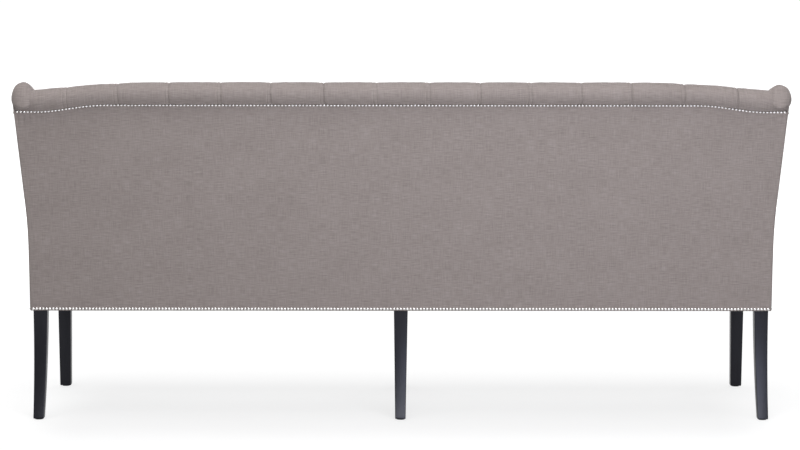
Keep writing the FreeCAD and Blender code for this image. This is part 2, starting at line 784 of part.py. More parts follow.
rolls = {}
inside_wings = {}
WINGS = (("left", -1), ("right", 1))
for word, side in WINGS:
    rolls[side] = wing_roll_shape(side)
    roof = wing_roll_crest
    near = front_y
    far = heel_y + s.body_depth

    skin = flank_band(0, s.cloth, s.apron_bottom, roof, side, near, far)
    outside = skin.common(wing_region(side, s.apron_bottom, s.cloth)).cut(rolls[side])
    shaped("outside_wing_" + word, outside)

    layer = flank_band(s.cloth, frame_inset, s.apron_bottom + s.rail_lift, roof, side, near, far)
    wadding = layer.common(wing_region(side, s.apron_bottom + s.rail_lift, frame_inset)).cut(rolls[side])
    shaped("wing_wadding_" + word, wadding)

    ply = flank_band(frame_inset, wing_inner, s.apron_bottom + rail_top, roof, side, near, far)
    panel = ply.common(wing_region(side, s.apron_bottom + rail_top, post_front)).cut(rolls[side])
    shaped("wing_board_" + word, panel)

    o = flank(wing_inner, apron_top, roof, side)
    i = flank(wing_inner + s.wing_pad, apron_top, roof, side)
    belly = (i[0] + i[4]) * 0.5 - Vector(side * s.wing_crown, 0, 0)
    edges = [
        Part.LineSegment(o[0], o[1]).toShape(),
        Part.Arc(o[1], o[2], o[3]).toShape(),
        Part.LineSegment(o[3], o[4]).toShape(),
        Part.LineSegment(o[4], i[4]).toShape(),
        Part.Arc(i[4], belly, i[0]).toShape(),
        Part.LineSegment(i[0], o[0]).toShape(),
    ]
    face = Part.Face(Part.Wire(edges))
    face.translate(Vector(0, near, 0))
    cushion = face.extrude(Vector(0, far - near, 0))
    inside_wings[side] = cushion.common(wing_region(side, apron_top, web_front)).cut(rolls[side])
    shaped("inside_wing_" + word, inside_wings[side])
    shaped("wing_roll_" + word, rolls[side])

# Outside back
def outside_back():
    """Flat cover of the back: upright sides, a blend and a flare, and the dipped top line."""
    blend = s.flare_blend
    slope = flare_slope
    turn = math.atan(slope)
    radius = blend / math.tan(turn / 2)
    top = s.panel_height - s.fit_gap
    low = top - s.dip_drop
    out = half_body + s.flare_out - s.corner_width
    middle = out - s.dip_length / 2
    inner = out - s.dip_length
    dip_radius = ((s.dip_length / 2) ** 2 + (s.dip_drop / 2) ** 2) / s.dip_drop

    def half(side):
        def at(x, v):
            return Vector(side * x, 0, v)

        bend_low = at(half_body, s.flare_knuckle - blend)
        bend_high = at(half_body + blend * math.sin(turn), s.flare_knuckle + blend * math.cos(turn))
        bend_mid = at(half_body + radius * (1 - math.cos(turn / 2)),
                      s.flare_knuckle - blend + radius * math.sin(turn / 2))
        corner = at(half_body + (low - s.flare_knuckle) * slope, low)
        dip = math.asin(s.dip_length / 2 / dip_radius) / 2
        low_mid = at(out - dip_radius * math.sin(dip), low + dip_radius * (1 - math.cos(dip)))
        high_mid = at(inner + dip_radius * math.sin(dip), top - dip_radius * (1 - math.cos(dip)))
        return [
            Part.LineSegment(at(0, 0), at(half_body, 0)),
            Part.LineSegment(at(half_body, 0), bend_low),
            Part.Arc(bend_low, bend_mid, bend_high),
            Part.LineSegment(bend_high, corner),
            Part.LineSegment(corner, at(out, low)),
            Part.Arc(at(out, low), low_mid, at(middle, (low + top) / 2)),
            Part.Arc(at(middle, (low + top) / 2), high_mid, at(inner, top)),
            Part.LineSegment(at(inner, top), at(0, top)),
        ]

    edges = [curve.toShape() for side in (1, -1) for curve in half(side)]
    wire = Part.Wire([e for group in Part.sortEdges(edges) for e in group])
    return Part.Face(wire).extrude(Vector(0, -s.cloth, 0))


shaped("outside_back", outside_back(), BACK)


def back_wadding():
    """Layer between the frame and the outside back, within the wings' side layers."""
    low = s.rail_lift
    head = end_line - 4 * s.fit_gap
    levels = (low, s.flare_knuckle, head)
    right = [Vector(width_at(v) - s.padding - s.cloth - s.fit_gap, -s.cloth, v) for v in levels]
    left = [Vector(-p.x, p.y, p.z) for p in reversed(right)]
    ring = right + left
    ring.append(right[0])
    return Part.Face(Part.makePolygon(ring)).extrude(Vector(0, -s.padding, 0))


shaped("back_wadding", back_wadding(), BACK)


# Inside back
def dip_at(x):
    """Fall of the top line at a distance from the middle: two equal arcs, then level."""
    out = half_body + s.flare_out - s.corner_width
    inner = out - s.dip_length
    radius = ((s.dip_length / 2) ** 2 + (s.dip_drop / 2) ** 2) / s.dip_drop
    x = abs(x)
    if x <= inner:
        return 0.0
    if x >= out:
        return s.dip_drop
    if x <= inner + s.dip_length / 2:
        return radius - math.sqrt(radius ** 2 - (x - inner) ** 2)
    return s.dip_drop - radius + math.sqrt(radius ** 2 - (out - x) ** 2)


def crest_fall(x):
    """Fall of the roll's crest: grows with the square of the distance past its start."""
    past = abs(x) - (crest_end - s.crest_length)
    return s.crest_drop * (max(past, 0) / s.crest_length) ** 2


def back_face(level):
    """Distance of the inside back's face in front of the outside back, at a height up the back."""
    share = (level - s.pad_foot) / (s.panel_height - s.pad_foot)
    return s.back_thickness_seat + (s.back_thickness_top - s.back_thickness_seat) * share


def roll_section(x, swell):
    """Section of the top roll: rear arc from the nail line to the crest, front arc, and the foot."""
    line = s.panel_height - dip_at(x)
    crest = s.panel_height + s.roll_height - crest_fall(x) + swell
    height = crest - line
    rear = s.roll_overhang + swell
    axis = -roll_axis_inset
    front_start = crest - s.crest_front_radius
    front_face = -back_face(front_start) - swell
    root = math.sqrt(0.5)
    belly = Vector(x, axis + (front_face - axis) * root, front_start + s.crest_front_radius * root)
    nail = Vector(x, 0, line)
    top = Vector(x, axis, crest)
    front = Vector(x, front_face, front_start)
    foot = Vector(x, -back_face(roll_foot) - swell, roll_foot)
    inner_low = Vector(x, -foam_front, roll_foot)
    inner_high = Vector(x, -foam_front, line)
    return Part.Wire([
        Part.Arc(nail, Vector(x, rear, line + height / 2), top).toShape(),
        Part.Arc(top, belly, front).toShape(),
        Part.LineSegment(front, foot).toShape(),
        Part.LineSegment(foot, inner_low).toShape(),
        Part.LineSegment(inner_low, inner_high).toShape(),
        Part.LineSegment(inner_high, nail).toShape(),
    ])


def pleat_lines():
    return [(k - (tuft_columns - 1) / 2) * tuft_pitch for k in range(tuft_columns)]


def roll_stations():
    """Places along the roll with their swell: drawn in at each pleat, puffed out between.

    The two dips have stations of their own, so that the roll's underside follows the top line.
    """
    lines = pleat_lines()
    out = half_body + s.flare_out - s.corner_width
    stations = []
    for x in lines:
        stations.append((x - s.pleat_half_width, 0.0))
        stations.append((x, -s.pleat_depth))
        stations.append((x + s.pleat_half_width, 0.0))
    for before, after in zip(lines, lines[1:]):
        middle = (before + after) / 2
        if abs(middle) < out - s.dip_length:
            stations.append((middle, s.puff_rise))
    clear = s.pleat_half_width * 3 / 2
    for k in range(DIP_STEPS + 1):
        x = out - s.dip_length * k / DIP_STEPS
        if min(abs(x - line) for line in lines) > clear:
            stations += [(x, 0.0), (-x, 0.0)]
    end = half_body - s.wing_roll_half_width / 2
    stations += [(end, 0.0), (-end, 0.0)]
    return sorted(stations)


def top_roll():
    sections = [roll_section(x, swell) for x, swell in roll_stations()]
    whole = Part.makeLoft(sections, True, True)
    for side in (-1, 1):
        whole = whole.cut(rolls[side]).cut(inside_wings[side])
    return whole


back_in_world = BACK.inverse()


def in_back(shape):
    """A copy of a placed shape in the raked back's own axes."""
    copy = shape.copy()
    copy.Placement = back_in_world * copy.Placement
    return copy


for side in (-1, 1):
    rolls[side] = in_back(rolls[side])
    inside_wings[side] = in_back(inside_wings[side])

shaped("top_roll", top_roll(), BACK)


def pad_trapezium(low, high, inset):
    """Corners of a layer of the inside back, between the wings' inner faces."""
    levels = (low, s.flare_knuckle, high)
    right = [Vector(width_at(v) - inset, 0, v) for v in levels]
    return right + [Vector(-p.x, 0, p.z) for p in reversed(right)]


def back_foam():
    inset = wing_inner + s.wing_pad + s.wing_crown + s.fit_gap
    ring = pad_trapezium(s.pad_foot, roll_foot, inset)
    ring.append(ring[0])
    face = Part.Face(Part.makePolygon(ring))
    face.translate(Vector(0, -web_front, 0))
    return face.extrude(Vector(0, -s.foam_thickness, 0))


shaped("back_foam", back_foam(), BACK)


def face_point(x, level, depth):
    """Point under the inside back's face, by its depth square to that face."""
    tilt = math.atan((s.back_thickness_seat - s.back_thickness_top) / (s.panel_height - s.pad_foot))
    return Vector(x, -back_face(level) + depth * math.cos(tilt), level + depth * math.sin(tilt))


def face_normal(x, level):
    return (face_point(x, level, -1) - face_point(x, level, 0)).normalize()


def disc(x, level, radius, height):
    """Many-sided disc that stands square on the foot of a tuft."""
    foot = face_point(x, level, s.tuft_depth)
    normal = face_normal(x, level)
    ring = []
    for k in range(BUTTON_SIDES):
        spoke = Rotation(normal, 360 * k / BUTTON_SIDES).multVec(X_AXIS)
        ring.append(foot + spoke * radius)
    ring.append(ring[0])
    return Part.Face(Part.makePolygon(ring)).extrude(normal * height)


def groove(start, stop):
    """Wedge that draws the cover in along a pleat between two places on the inside back."""
    over = s.tuft_depth
    half = s.tuft_half_width
    along = face_point(*stop, 0) - face_point(*start, 0)
    normal = face_normal(*start)
    across = along.cross(normal).normalize()
    base = face_point(*start, 0)
    wide = half * (s.tuft_depth + over) / s.tuft_depth
    ring = [base - normal * s.tuft_depth, base + normal * over + across * wide,
            base + normal * over - across * wide, base - normal * s.tuft_depth]
    return Part.Face(Part.makePolygon(ring)).extrude(along)


def tuft_rows():
    """Button places by row: full rows above and below, a staggered row between them."""
    lines = pleat_lines()
    rows = []
    for k in range(TUFT_ROWS):
        level = tuft_top_row - k * s.tuft_row_pitch
        if k % 2:
            places = [x + tuft_pitch / 2 for x in lines[:-1]]
        else:
            places = list(lines)
        rows.append([(x, level) for x in places])
    return rows


def tufted_back():
    """Deep-buttoned pad: a wedge-shaped slab drawn in along diagonal and upright pleats."""
    span = half_body + s.flare_out
    corners = [
        Vector(-span, -foam_front, s.pad_foot),
        Vector(-span, -back_face(s.pad_foot), s.pad_foot),
        Vector(-span, -back_face(roll_foot), roll_foot),
        Vector(-span, -foam_front, roll_foot),
    ]
    corners.append(corners[0])
    slab = Part.Face(Part.makePolygon(corners)).extrude(Vector(2 * span, 0, 0))
    rows = tuft_rows()
    wedges = []
    over = tuft_pitch / 4
    for x, level in rows[0]:
        wedges.append(groove((x, level), (x, roll_foot + over)))
    for x, level in rows[-1]:
        wedges.append(groove((x, level), (x, s.pad_foot - over)))
    for k in range(TUFT_ROWS - 1):
        full, staggered = (rows[k], rows[k + 1]) if k % 2 == 0 else (rows[k + 1], rows[k])
        level = staggered[0][1]
        for x, height in full:
            for step in (-tuft_pitch / 2, tuft_pitch / 2):
                wedges.append(groove((x, height), (x + step, level)))
    for row in rows:
        for x, level in row:
            wedges.append(disc(x, level, s.button_radius + s.fit_gap, 2 * s.tuft_depth))
    slab = slab.cut(wedges)
    for side in (-1, 1):
        slab = slab.cut(inside_wings[side]).cut(rolls[side])
    solids = sorted(slab.Solids, key=lambda solid: solid.Volume)
    return solids[-1]


shaped("tufted_back", tufted_back(), BACK)


def buttons():
    """Covered buttons, one at the foot of each tuft, as many-sided discs."""
    made = []
    for row in tuft_rows():
        for x, level in row:
            made.append(disc(x, level, s.button_radius, s.button_height))
    return Part.makeCompound(made)


shaped("back_buttons", buttons(), BACK)


# Seat
def seat_rear(z):
    """Depth of the seat's rear face, which lies against the inside back, at a height."""
    face = s.back_thickness_seat + s.fit_gap
    return front_y + s.body_depth - face / math.cos(rake) + (z - s.apron_bottom) * math.tan(rake)


def seat_section(x, drop, inward):
    """Section from front to rear: drawn-in foot, rounded front and shoulder, crowned top."""
    front = front_y + inward
    foot = apron_top
    a = Vector(x, front + s.seat_draw, foot)
    low = seat_front_height - drop
    shoulder = seat_shoulder_height - drop
    crown = seat_crown_height - drop
    rear = seat_rear_height - drop
    b = Vector(x, front, (foot + low) / 2)
    c = Vector(x, front + s.seat_draw, low)
    e = Vector(x, front + s.seat_shoulder, shoulder)
    reach, rise = SHOULDER_SHARES
    d = Vector(x, front + s.seat_shoulder * reach, low + (shoulder - low) * rise)
    g = Vector(x, seat_rear(rear), rear)
    f = Vector(x, (e.y + g.y) / 2, crown)
    i = Vector(x, seat_rear(foot), foot)
    return Part.Wire([
        Part.Arc(a, b, c).toShape(),
        Part.Arc(c, d, e).toShape(),
        Part.Arc(e, f, g).toShape(),
        Part.LineSegment(g, i).toShape(),
        Part.LineSegment(i, a).toShape(),
    ])


def seat_cover():
    """Crowned seat with rounded ends, over its foam and between the wings at the rear."""
    stations = []
    for way, fall in END_SHARES:
        stations.append((half_body - way * s.seat_end_round, fall * s.seat_end_drop, fall * s.seat_draw))
    for x, share in zip((half_body / 2, 0.0), CROWN_SHARES):
        stations.append((x, -share * s.seat_end_drop, 0.0))
    whole = stations + [(-x, drop, inward) for x, drop, inward in reversed(stations[:-1])]
    body = Part.makeLoft([seat_section(*station) for station in whole], True, True)
    return body


def seat_foam():
    inset = s.seat_foam_inset
    depth = s.body_depth - 2 * inset - s.back_thickness_seat
    return Part.makeBox(s.body_width - 4 * inset, depth, s.seat_foam_height,
                        Vector(-half_body + 2 * inset, front_y + inset, apron_top))


def wing_room(side):
    """What a wing takes out of the seat: all that lies outside the inner face of its pad."""
    i = flank(wing_inner + s.wing_pad, apron_top, wing_roll_crest, side)
    belly = (i[0] + i[4]) * 0.5 - Vector(side * s.wing_crown, 0, 0)
    far = Vector(side * s.body_width, 0, 0)
    edges = [
        Part.Arc(i[4], belly, i[0]).toShape(),
        Part.LineSegment(i[0], Vector(far.x, 0, i[0].z)).toShape(),
        Part.LineSegment(Vector(far.x, 0, i[0].z), Vector(far.x, 0, i[4].z)).toShape(),
        Part.LineSegment(Vector(far.x, 0, i[4].z), i[4]).toShape(),
    ]
    face = Part.Face(Part.Wire(edges))
    face.translate(Vector(0, front_y, 0))
    room = face.extrude(Vector(0, 2 * s.body_depth, 0))
    return room.common(wing_region(side, s.apron_bottom, 0))


seat = seat_cover().cut(seat_foam())
for word, side in WINGS:
    seat = seat.cut(wing_room(side)).cut(doc.getObject("wing_roll_" + word).Shape)
seat = sorted(seat.Solids, key=lambda solid: solid.Volume)[-1]
shaped("seat_foam", seat_foam())
shaped("seat_cover", seat)
shaped("dust_cover", dust_cover())


# Aprons
toe_y = min(wing_point(a, b, 0, 1).y for a, b, c, d in wing_stations())


def box(label, corner_low, corner_high):
    size = corner_high - corner_low
    shaped(label, Part.makeBox(size.x, size.y, size.z, corner_low))


box("front_apron", Vector(-half_body, front_y, s.apron_bottom),
    Vector(half_body, front_y + s.cloth, apron_top))
box("front_apron_wadding", Vector(-half_frame, front_y + s.cloth, s.apron_bottom + s.rail_lift),
    Vector(half_frame, front_y + frame_inset, s.apron_bottom + rail_top))
for word, side in WINGS:
    outer = side * half_body
    inner = side * (half_body - s.cloth)
    box("side_apron_" + word, Vector(min(outer, inner), front_y + s.cloth, s.apron_bottom),
        Vector(max(outer, inner), toe_y, apron_top))
    outer = side * (half_body - s.cloth)
    inner = side * half_frame
    box("side_apron_wadding_" + word,
        Vector(min(outer, inner), front_y + s.cloth, s.apron_bottom + s.rail_lift),
        Vector(max(outer, inner), toe_y, s.apron_bottom + rail_top))


# Nail trim
def top_trim():
    """Strip along the top line of the outside back, with its two dips."""
    top = s.panel_height - s.fit_gap
    out = half_body + s.flare_out - s.corner_width
    inner = out - s.dip_length
    places = [inner + s.dip_length * k / TRIM_STEPS for k in range(TRIM_STEPS + 1)]
    edge = width_at(top - s.dip_drop)
    line = [(edge, s.dip_drop)] + [(x, dip_at(x)) for x in reversed(places)]
    line += [(-x, fall) for x, fall in reversed(line)]
    upper = [Vector(x, 0, top - fall) for x, fall in line]
    lower = [p - Z_AXIS * s.trim_width for p in reversed(upper)]
    ring = upper + lower
    ring.append(ring[0])
    return Part.Face(Part.makePolygon(ring)).extrude(Vector(0, s.trim_thickness, 0))


shaped("nail_trim_back_top", top_trim(), BACK)
shaped("nail_trim_back_bottom", Part.makeBox(
    s.body_width, s.trim_thickness, s.trim_width, Vector(-half_body, 0, 0)), BACK)
box("nail_trim_front", Vector(-half_body, front_y - s.trim_thickness, s.apron_bottom),
    Vector(half_body, front_y, s.apron_bottom + s.trim_width))
for word, side in WINGS:
    outer = side * (half_body + s.trim_thickness)
    inner = side * half_body
    box("nail_trim_side_" + word, Vector(min(outer, inner), front_y, s.apron_bottom),
        Vector(max(outer, inner), heel_y, s.apron_bottom + s.trim_width))

doc.recompute()
for item in doc.Objects:
    if "Invalid" in item.State or "Error" in item.State:
        raise RuntimeError("failed object: %s %s" % (item.Name, item.State))
os.makedirs("parts", exist_ok=True)
for piece in pieces:
    shape = piece.Shape
    if shape.isNull() or not shape.isValid() or not shape.Solids:
        raise RuntimeError("bad shape: " + piece.Label)
    shape.exportStep("parts/%s.step" % piece.Label)
print("wrote", len(pieces), "sub-parts")
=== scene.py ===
import json
import math

import bpy
import numpy as np
from mathutils import Matrix, Vector


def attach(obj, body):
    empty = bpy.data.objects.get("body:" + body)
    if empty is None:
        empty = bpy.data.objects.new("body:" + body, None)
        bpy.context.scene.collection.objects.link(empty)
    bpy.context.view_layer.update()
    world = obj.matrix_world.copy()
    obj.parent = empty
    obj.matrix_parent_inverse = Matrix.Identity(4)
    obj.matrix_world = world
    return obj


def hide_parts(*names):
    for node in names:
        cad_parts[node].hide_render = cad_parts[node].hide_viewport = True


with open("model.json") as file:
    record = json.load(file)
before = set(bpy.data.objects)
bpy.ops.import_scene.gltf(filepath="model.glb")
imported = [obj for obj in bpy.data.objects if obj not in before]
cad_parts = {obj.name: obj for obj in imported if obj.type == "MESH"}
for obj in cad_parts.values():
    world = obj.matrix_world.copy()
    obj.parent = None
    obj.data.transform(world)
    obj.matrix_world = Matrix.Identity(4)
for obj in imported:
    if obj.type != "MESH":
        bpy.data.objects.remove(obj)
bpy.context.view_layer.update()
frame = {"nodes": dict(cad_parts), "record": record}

# Body over its cover: the back's outer plane starts at the heel and hem, and leans by the rake. The
# panel is its length up the slope. The apron covers the seat frame. The covers round the corners,
# have a wall, and sink under the nails at the hem.
RAKE = math.radians(7.2)
HEEL_Y = 0.24963
FRONT_Y = -0.35037
HEM = 0.308
BODY_HALF = 1.0635
PANEL = 0.598
APRON_TOP = 0.4235
CORNER = 0.006
COVER_WALL = 0.008
HEM_SINK = 0.0008
SINK_REACH = 0.006

# The sides flare out above the knuckle, and the top line dips to the corners.
KNUCKLE = 0.248
BLEND = 0.070
FLARE_OUT = 0.030
DIP_DROP = 0.019
DIP_LENGTH = 0.190
DIP_OUT = 1.0295
TOP_HALF = 1.09
FLARE = FLARE_OUT / (PANEL - DIP_DROP - KNUCKLE)
LEAN = math.atan(FLARE / math.cos(RAKE))

# Roll: its crest above the nail line, and how far it stands out. It tucks in near its ends.
ROLL_HALF = 1.062
ROLL_RISE = 0.0635
ROLL_OVERHANG = 0.022
ROLL_END_TUCK = 0.012
ROLL_END = (1.015, 1.055)
ROLL_AXIS = -0.012
ROLL_FRONT = 0.070
UNDERCUT = 0.55
CREST_FALL = 0.024
CREST_START = 0.650
CREST_RUN = 0.385
# The lip is the roll's lower edge above the nail line. Behind it the cover is tucked in.
LIP = 0.0058
TUCK_START = 0.0004
TUCK_SHARES = (0.12, 0.55, 0.88)
TUCK_DROPS = (0.0022, 0.0016, 0.0013, 0.0008)

# Inside back: its foot on the slope, its thickness there and what it loses up to the top, its core,
# and its buttons' columns and rows. A button sits in its pit and rises to a dome, whose profile is
# given from the rim to the tip.
PAD_FOOT = 0.150
PAD_THICK = 0.112
PAD_LOSS = 0.030
PAD_CORE = 0.068
PITCH = 0.146
COLUMNS = 14
ROWS = (0.532, 0.411, 0.290)
BUTTON_RADIUS = 0.0115
BUTTON_SEAT = -0.0165
BUTTON_RISE = 0.0075
BUTTON_RISE_SHARES = (-0.5, 0.0, 0.3, 0.55, 0.78, 0.93)
BUTTON_WIDTH_SHARES = (0.9, 1.0, 0.95, 0.83, 0.62, 0.36)

# Where the photograph shows the pleats of the roll, left to right, and its scale at the roll. The
# pleats run between two heights along the cover, lean aside just above the nails, and have a
# doubled edge as wide as this.
ROLL_PLEATS_PX = (66, 117, 168, 220, 270, 323, 376, 429, 480, 531, 581, 631, 684, 737)
PX_PER_METRE = 355
MIDDLE_PX = 400.3
ROLL_PLEATS = (MIDDLE_PX - np.array(ROLL_PLEATS_PX[::-1])) / PX_PER_METRE
ROLL_PLEATS_FROM, ROLL_PLEATS_TO = 0.585, 1.2
PLEAT_LEAN = 0.007
PLEAT_WIDTH = 0.0105
# How deep each of these pleats is drawn, right to left in the photograph.
PLEAT_DEPTH_SHARES = (1.3, 1.25, 1.25, 1.0, 0.65, 0.9, 0.5, 0.65, 1.2, 1.05, 0.75, 1.0, 0.8, 0.6)
# Places of the columns beside a pleat, in millimetres, and the room that they take.
BESIDE_PLEAT_MM = (-3.4, -2.2, -1.3, -0.6, 0.0, 0.6, 1.3, 2.2, 4.0, 6.2, 8.2, 9.3, 9.9, 10.5, 11.1,
                   11.7, 12.8, 14.4)
BESIDE_ROOM = (-0.0060, 0.0170)

# Tufting, first on the inside back and then on the roll: each pleat's sharp fold and broad hollow,
# the height of the full diamonds, and how far from the pleat each of them reaches. The one changes
# into the other between two heights along the cover.
ROLL_RELIEF = (0.555, 0.63)
FOLD_DEEP, FOLD_WIDE = (0.0062, 0.0031), (0.0035, 0.0014)
HOLLOW_DEEP, HOLLOW_WIDE = (0.0088, 0.0007), (0.019, 0.013)
FULL_HIGH, FULL_WIDE = (0.0085, 0.0006), 0.040
# A pleat's second line on the roll, and the pit and the rays at a button.
TUCK_DEEP, TUCK_WIDE = 0.0011, 0.0010
PIT_DEEP, PIT_WIDE = 0.0060, 0.015
RAY_DEEP, RAYS, RAY_TWIST, RAY_START, RAY_END = 0.0008, 9, 20, 0.008, 0.016

# Wings: the knob at the top rear corner and its half sizes, and those of the toe on the seat. The
# edge roll stands proud of the wing's face, and its line has a run, a shoulder, a fall and a toe.
KNOB_CREST = 0.962
KNOB_TALL = 0.041
KNOB_WIDE = 0.035
KNOB_DEEP = 0.0355
# The knob is an egg: its middle sinks, its upper half grows by as much and its lower half by a share
# of it, and its rear pole drops.
KNOB_SINK = 0.0065
KNOB_LOWER_SHARE = -2.0
KNOB_END_SHARE = 0.16
KNOB_DROP = 0.020
# How far each knob of the photograph sits above and outside of an even pair, by the sign of its side.
KNOB_UNEVEN = {-1: (-0.0035, 0.0025), 1: (0.0025, 0.0)}
TOE_TALL = 0.022
TOE_WIDE = 0.018
TOE_DEPTH_SHARE = 0.8
PROUD = 0.0028
# Where the half ellipsoids of the knob and the toe end, as an angle just short of the pole.
NEAR_POLE = math.radians(87.3)
WING_TOE = 0.478
WING_RUN = 0.040
SHOULDER_RADIUS = 0.130
TOE_RADIUS = 0.240
WING_ANGLES = tuple(math.radians(a) for a in (9, 64, 38))
# Tops of the wing's outer and inner covers under its roll, board and pad together, and the pad's
# crown and its pull towards the roll.
OUTER_TOP = 0.915
INNER_TOP = 0.905
WING_THICK = 0.044
WING_BOARD = 0.026
WING_CROWN = 0.008
WING_PULL = 0.004

# Seat: the inside back's thickness behind it, and its section behind the front plane and above the
# apron, with the height that it keeps at the rear.
BACK_AT_SEAT = 0.0980
SEAT_KNOTS = ((0.005, 0.0), (0.001, 0.010), (0.0, 0.022), (0.002, 0.036), (0.012, 0.047),
              (0.035, 0.055), (0.080, 0.061), (0.170, 0.0655), (0.270, 0.066), (0.380, 0.063))
SEAT_REAR_RISE = 0.058
# The seat narrows by this much between these depths, to fit between the wings.
SEAT_NARROWING = 0.040
SEAT_NARROWS = (-0.027, -0.009)
SEAT_END_SHARE = 0.028
SEAT_END_DROP = 0.026

# Dust sheet under the frame
DUST_HALF = 1.05
DUST_REAR = 0.205
DUST_BOTTOM = 0.3102
DUST_SAG = 0.0022

# Legs: side at the top, inset from the covers, sides of the feet, tapers, how far the sabre legs'
# rear and front faces sweep, the glide under the foot, and the rounding of the edges.
LEG = 0.040
LEG_INSET = 0.008
FRONT_FOOT = 0.033
REAR_FOOT = 0.030
OUTER_TAPER = 0.004
FRONT_TAPERS = (0.004, 0.003)
SWEEPS = (0.060, 0.070)
GLIDE = 0.003
LEG_EDGE = 0.0022
FOOT_ROUND = 0.0007

# Nails: dome and pitch, and how far the rows lie above the hem.
NAIL_RADIUS = 0.0041
NAIL_RISE = 0.0032
NAIL_LIFT = 0.0006
NAIL_TILT = 0.02
NAIL_PITCH = 0.0095
TOP_PITCH = 0.00985
WING_PITCH = 0.0098
HEM_ROW = 0.0048
BACK_HEM_ROW = 0.0058


# Meshes
def grid_faces(rows, columns, first=0, close_columns=False):
    """Four-sided faces of a grid of points, numbered row by row, whose columns may join up."""
    i = np.arange(rows - 1)
    j = np.arange(columns if close_columns else columns - 1)
    i, j = np.meshgrid(i, j, indexing="ij")
    below, beside = i + 1, (j + 1) % columns
    corners = [i * columns + j, i * columns + beside, below * columns + beside, below * columns + j]
    return first + np.stack(corners, -1).reshape(-1, 4)


def fan_faces(rim, hub):
    """Three-sided faces from a closed rim of point numbers to one hub."""
    return np.stack([rim, np.roll(rim, -1), np.full_like(rim, hub)], -1)


def volume(points, faces):
    """Six times the signed volume under fans of the faces from their first corners."""
    total = 0.0
    for k in range(1, faces.shape[1] - 1):
        a, b, c = points[faces[:, 0]], points[faces[:, k]], points[faces[:, k + 1]]
        total += np.einsum("ij,ij->", a, np.cross(b, c))
    return total


def piece(name, points, faces, material, slot_name, weave=None):
    """A finished mesh of the bench: faces turned outwards, its weave map in metres, on the root."""
    points = np.ascontiguousarray(points.reshape(-1, 3), dtype=np.float64)
    if sum(volume(points, f) for f in faces) < 0:
        faces = [f[:, ::-1] for f in faces]
    loops = np.concatenate([f.ravel() for f in faces])
    sizes = np.concatenate([np.full(len(f), f.shape[1]) for f in faces])
    mesh = bpy.data.meshes.new(name)
    mesh.vertices.add(len(points))
    mesh.vertices.foreach_set("co", points.ravel())
    mesh.loops.add(len(loops))
    mesh.loops.foreach_set("vertex_index", loops.astype(np.int32))
    mesh.polygons.add(len(sizes))
    mesh.polygons.foreach_set("loop_start", (np.cumsum(sizes) - sizes).astype(np.int32))
    if weave is not None:
        layer = mesh.uv_layers.new(name="weave")
        layer.uv.foreach_set("vector", weave.reshape(-1, 2)[loops].astype(np.float32).ravel())
    mesh.update(calc_edges=True)
    mesh.validate()
    mesh.polygons.foreach_set("use_smooth", np.full(len(mesh.polygons), True))
    mesh.materials.append(material)
    thing = bpy.data.objects.new(name, mesh)
    bpy.context.scene.collection.objects.link(thing)
    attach(thing, "bench")
    return thing


def shell(outer, inner):
    """Closed wall between two grids of points of one size: both grids and the rim that joins them."""
    rows, columns = outer.shape[:2]
    count = rows * columns
    number = np.arange(count).reshape(rows, columns)
    rim = np.concatenate([number[0, :-1], number[:-1, -1], number[-1, :0:-1], number[:0:-1, 0]])
    after = np.roll(rim, -1)
    wall = np.stack([after, rim, rim + count, after + count], -1)
    faces = [grid_faces(rows, columns), grid_faces(rows, columns, count)[:, ::-1], wall]
    return np.concatenate([outer.reshape(-1, 3), inner.reshape(-1, 3)]), faces


def tube(rings):
    """Closed surface through rings of points, with a hub in the middle of each end ring."""
    stations, around = rings.shape[:2]
    count = stations * around
    first = np.arange(around)
    last = first + count - around
    hubs = np.stack([rings[0].mean(0), rings[-1].mean(0)])
    faces = [grid_faces(stations, around, close_columns=True),
             fan_faces(first, count)[:, ::-1], fan_faces(last, count + 1)]
    return np.concatenate([rings.reshape(-1, 3), hubs]), faces


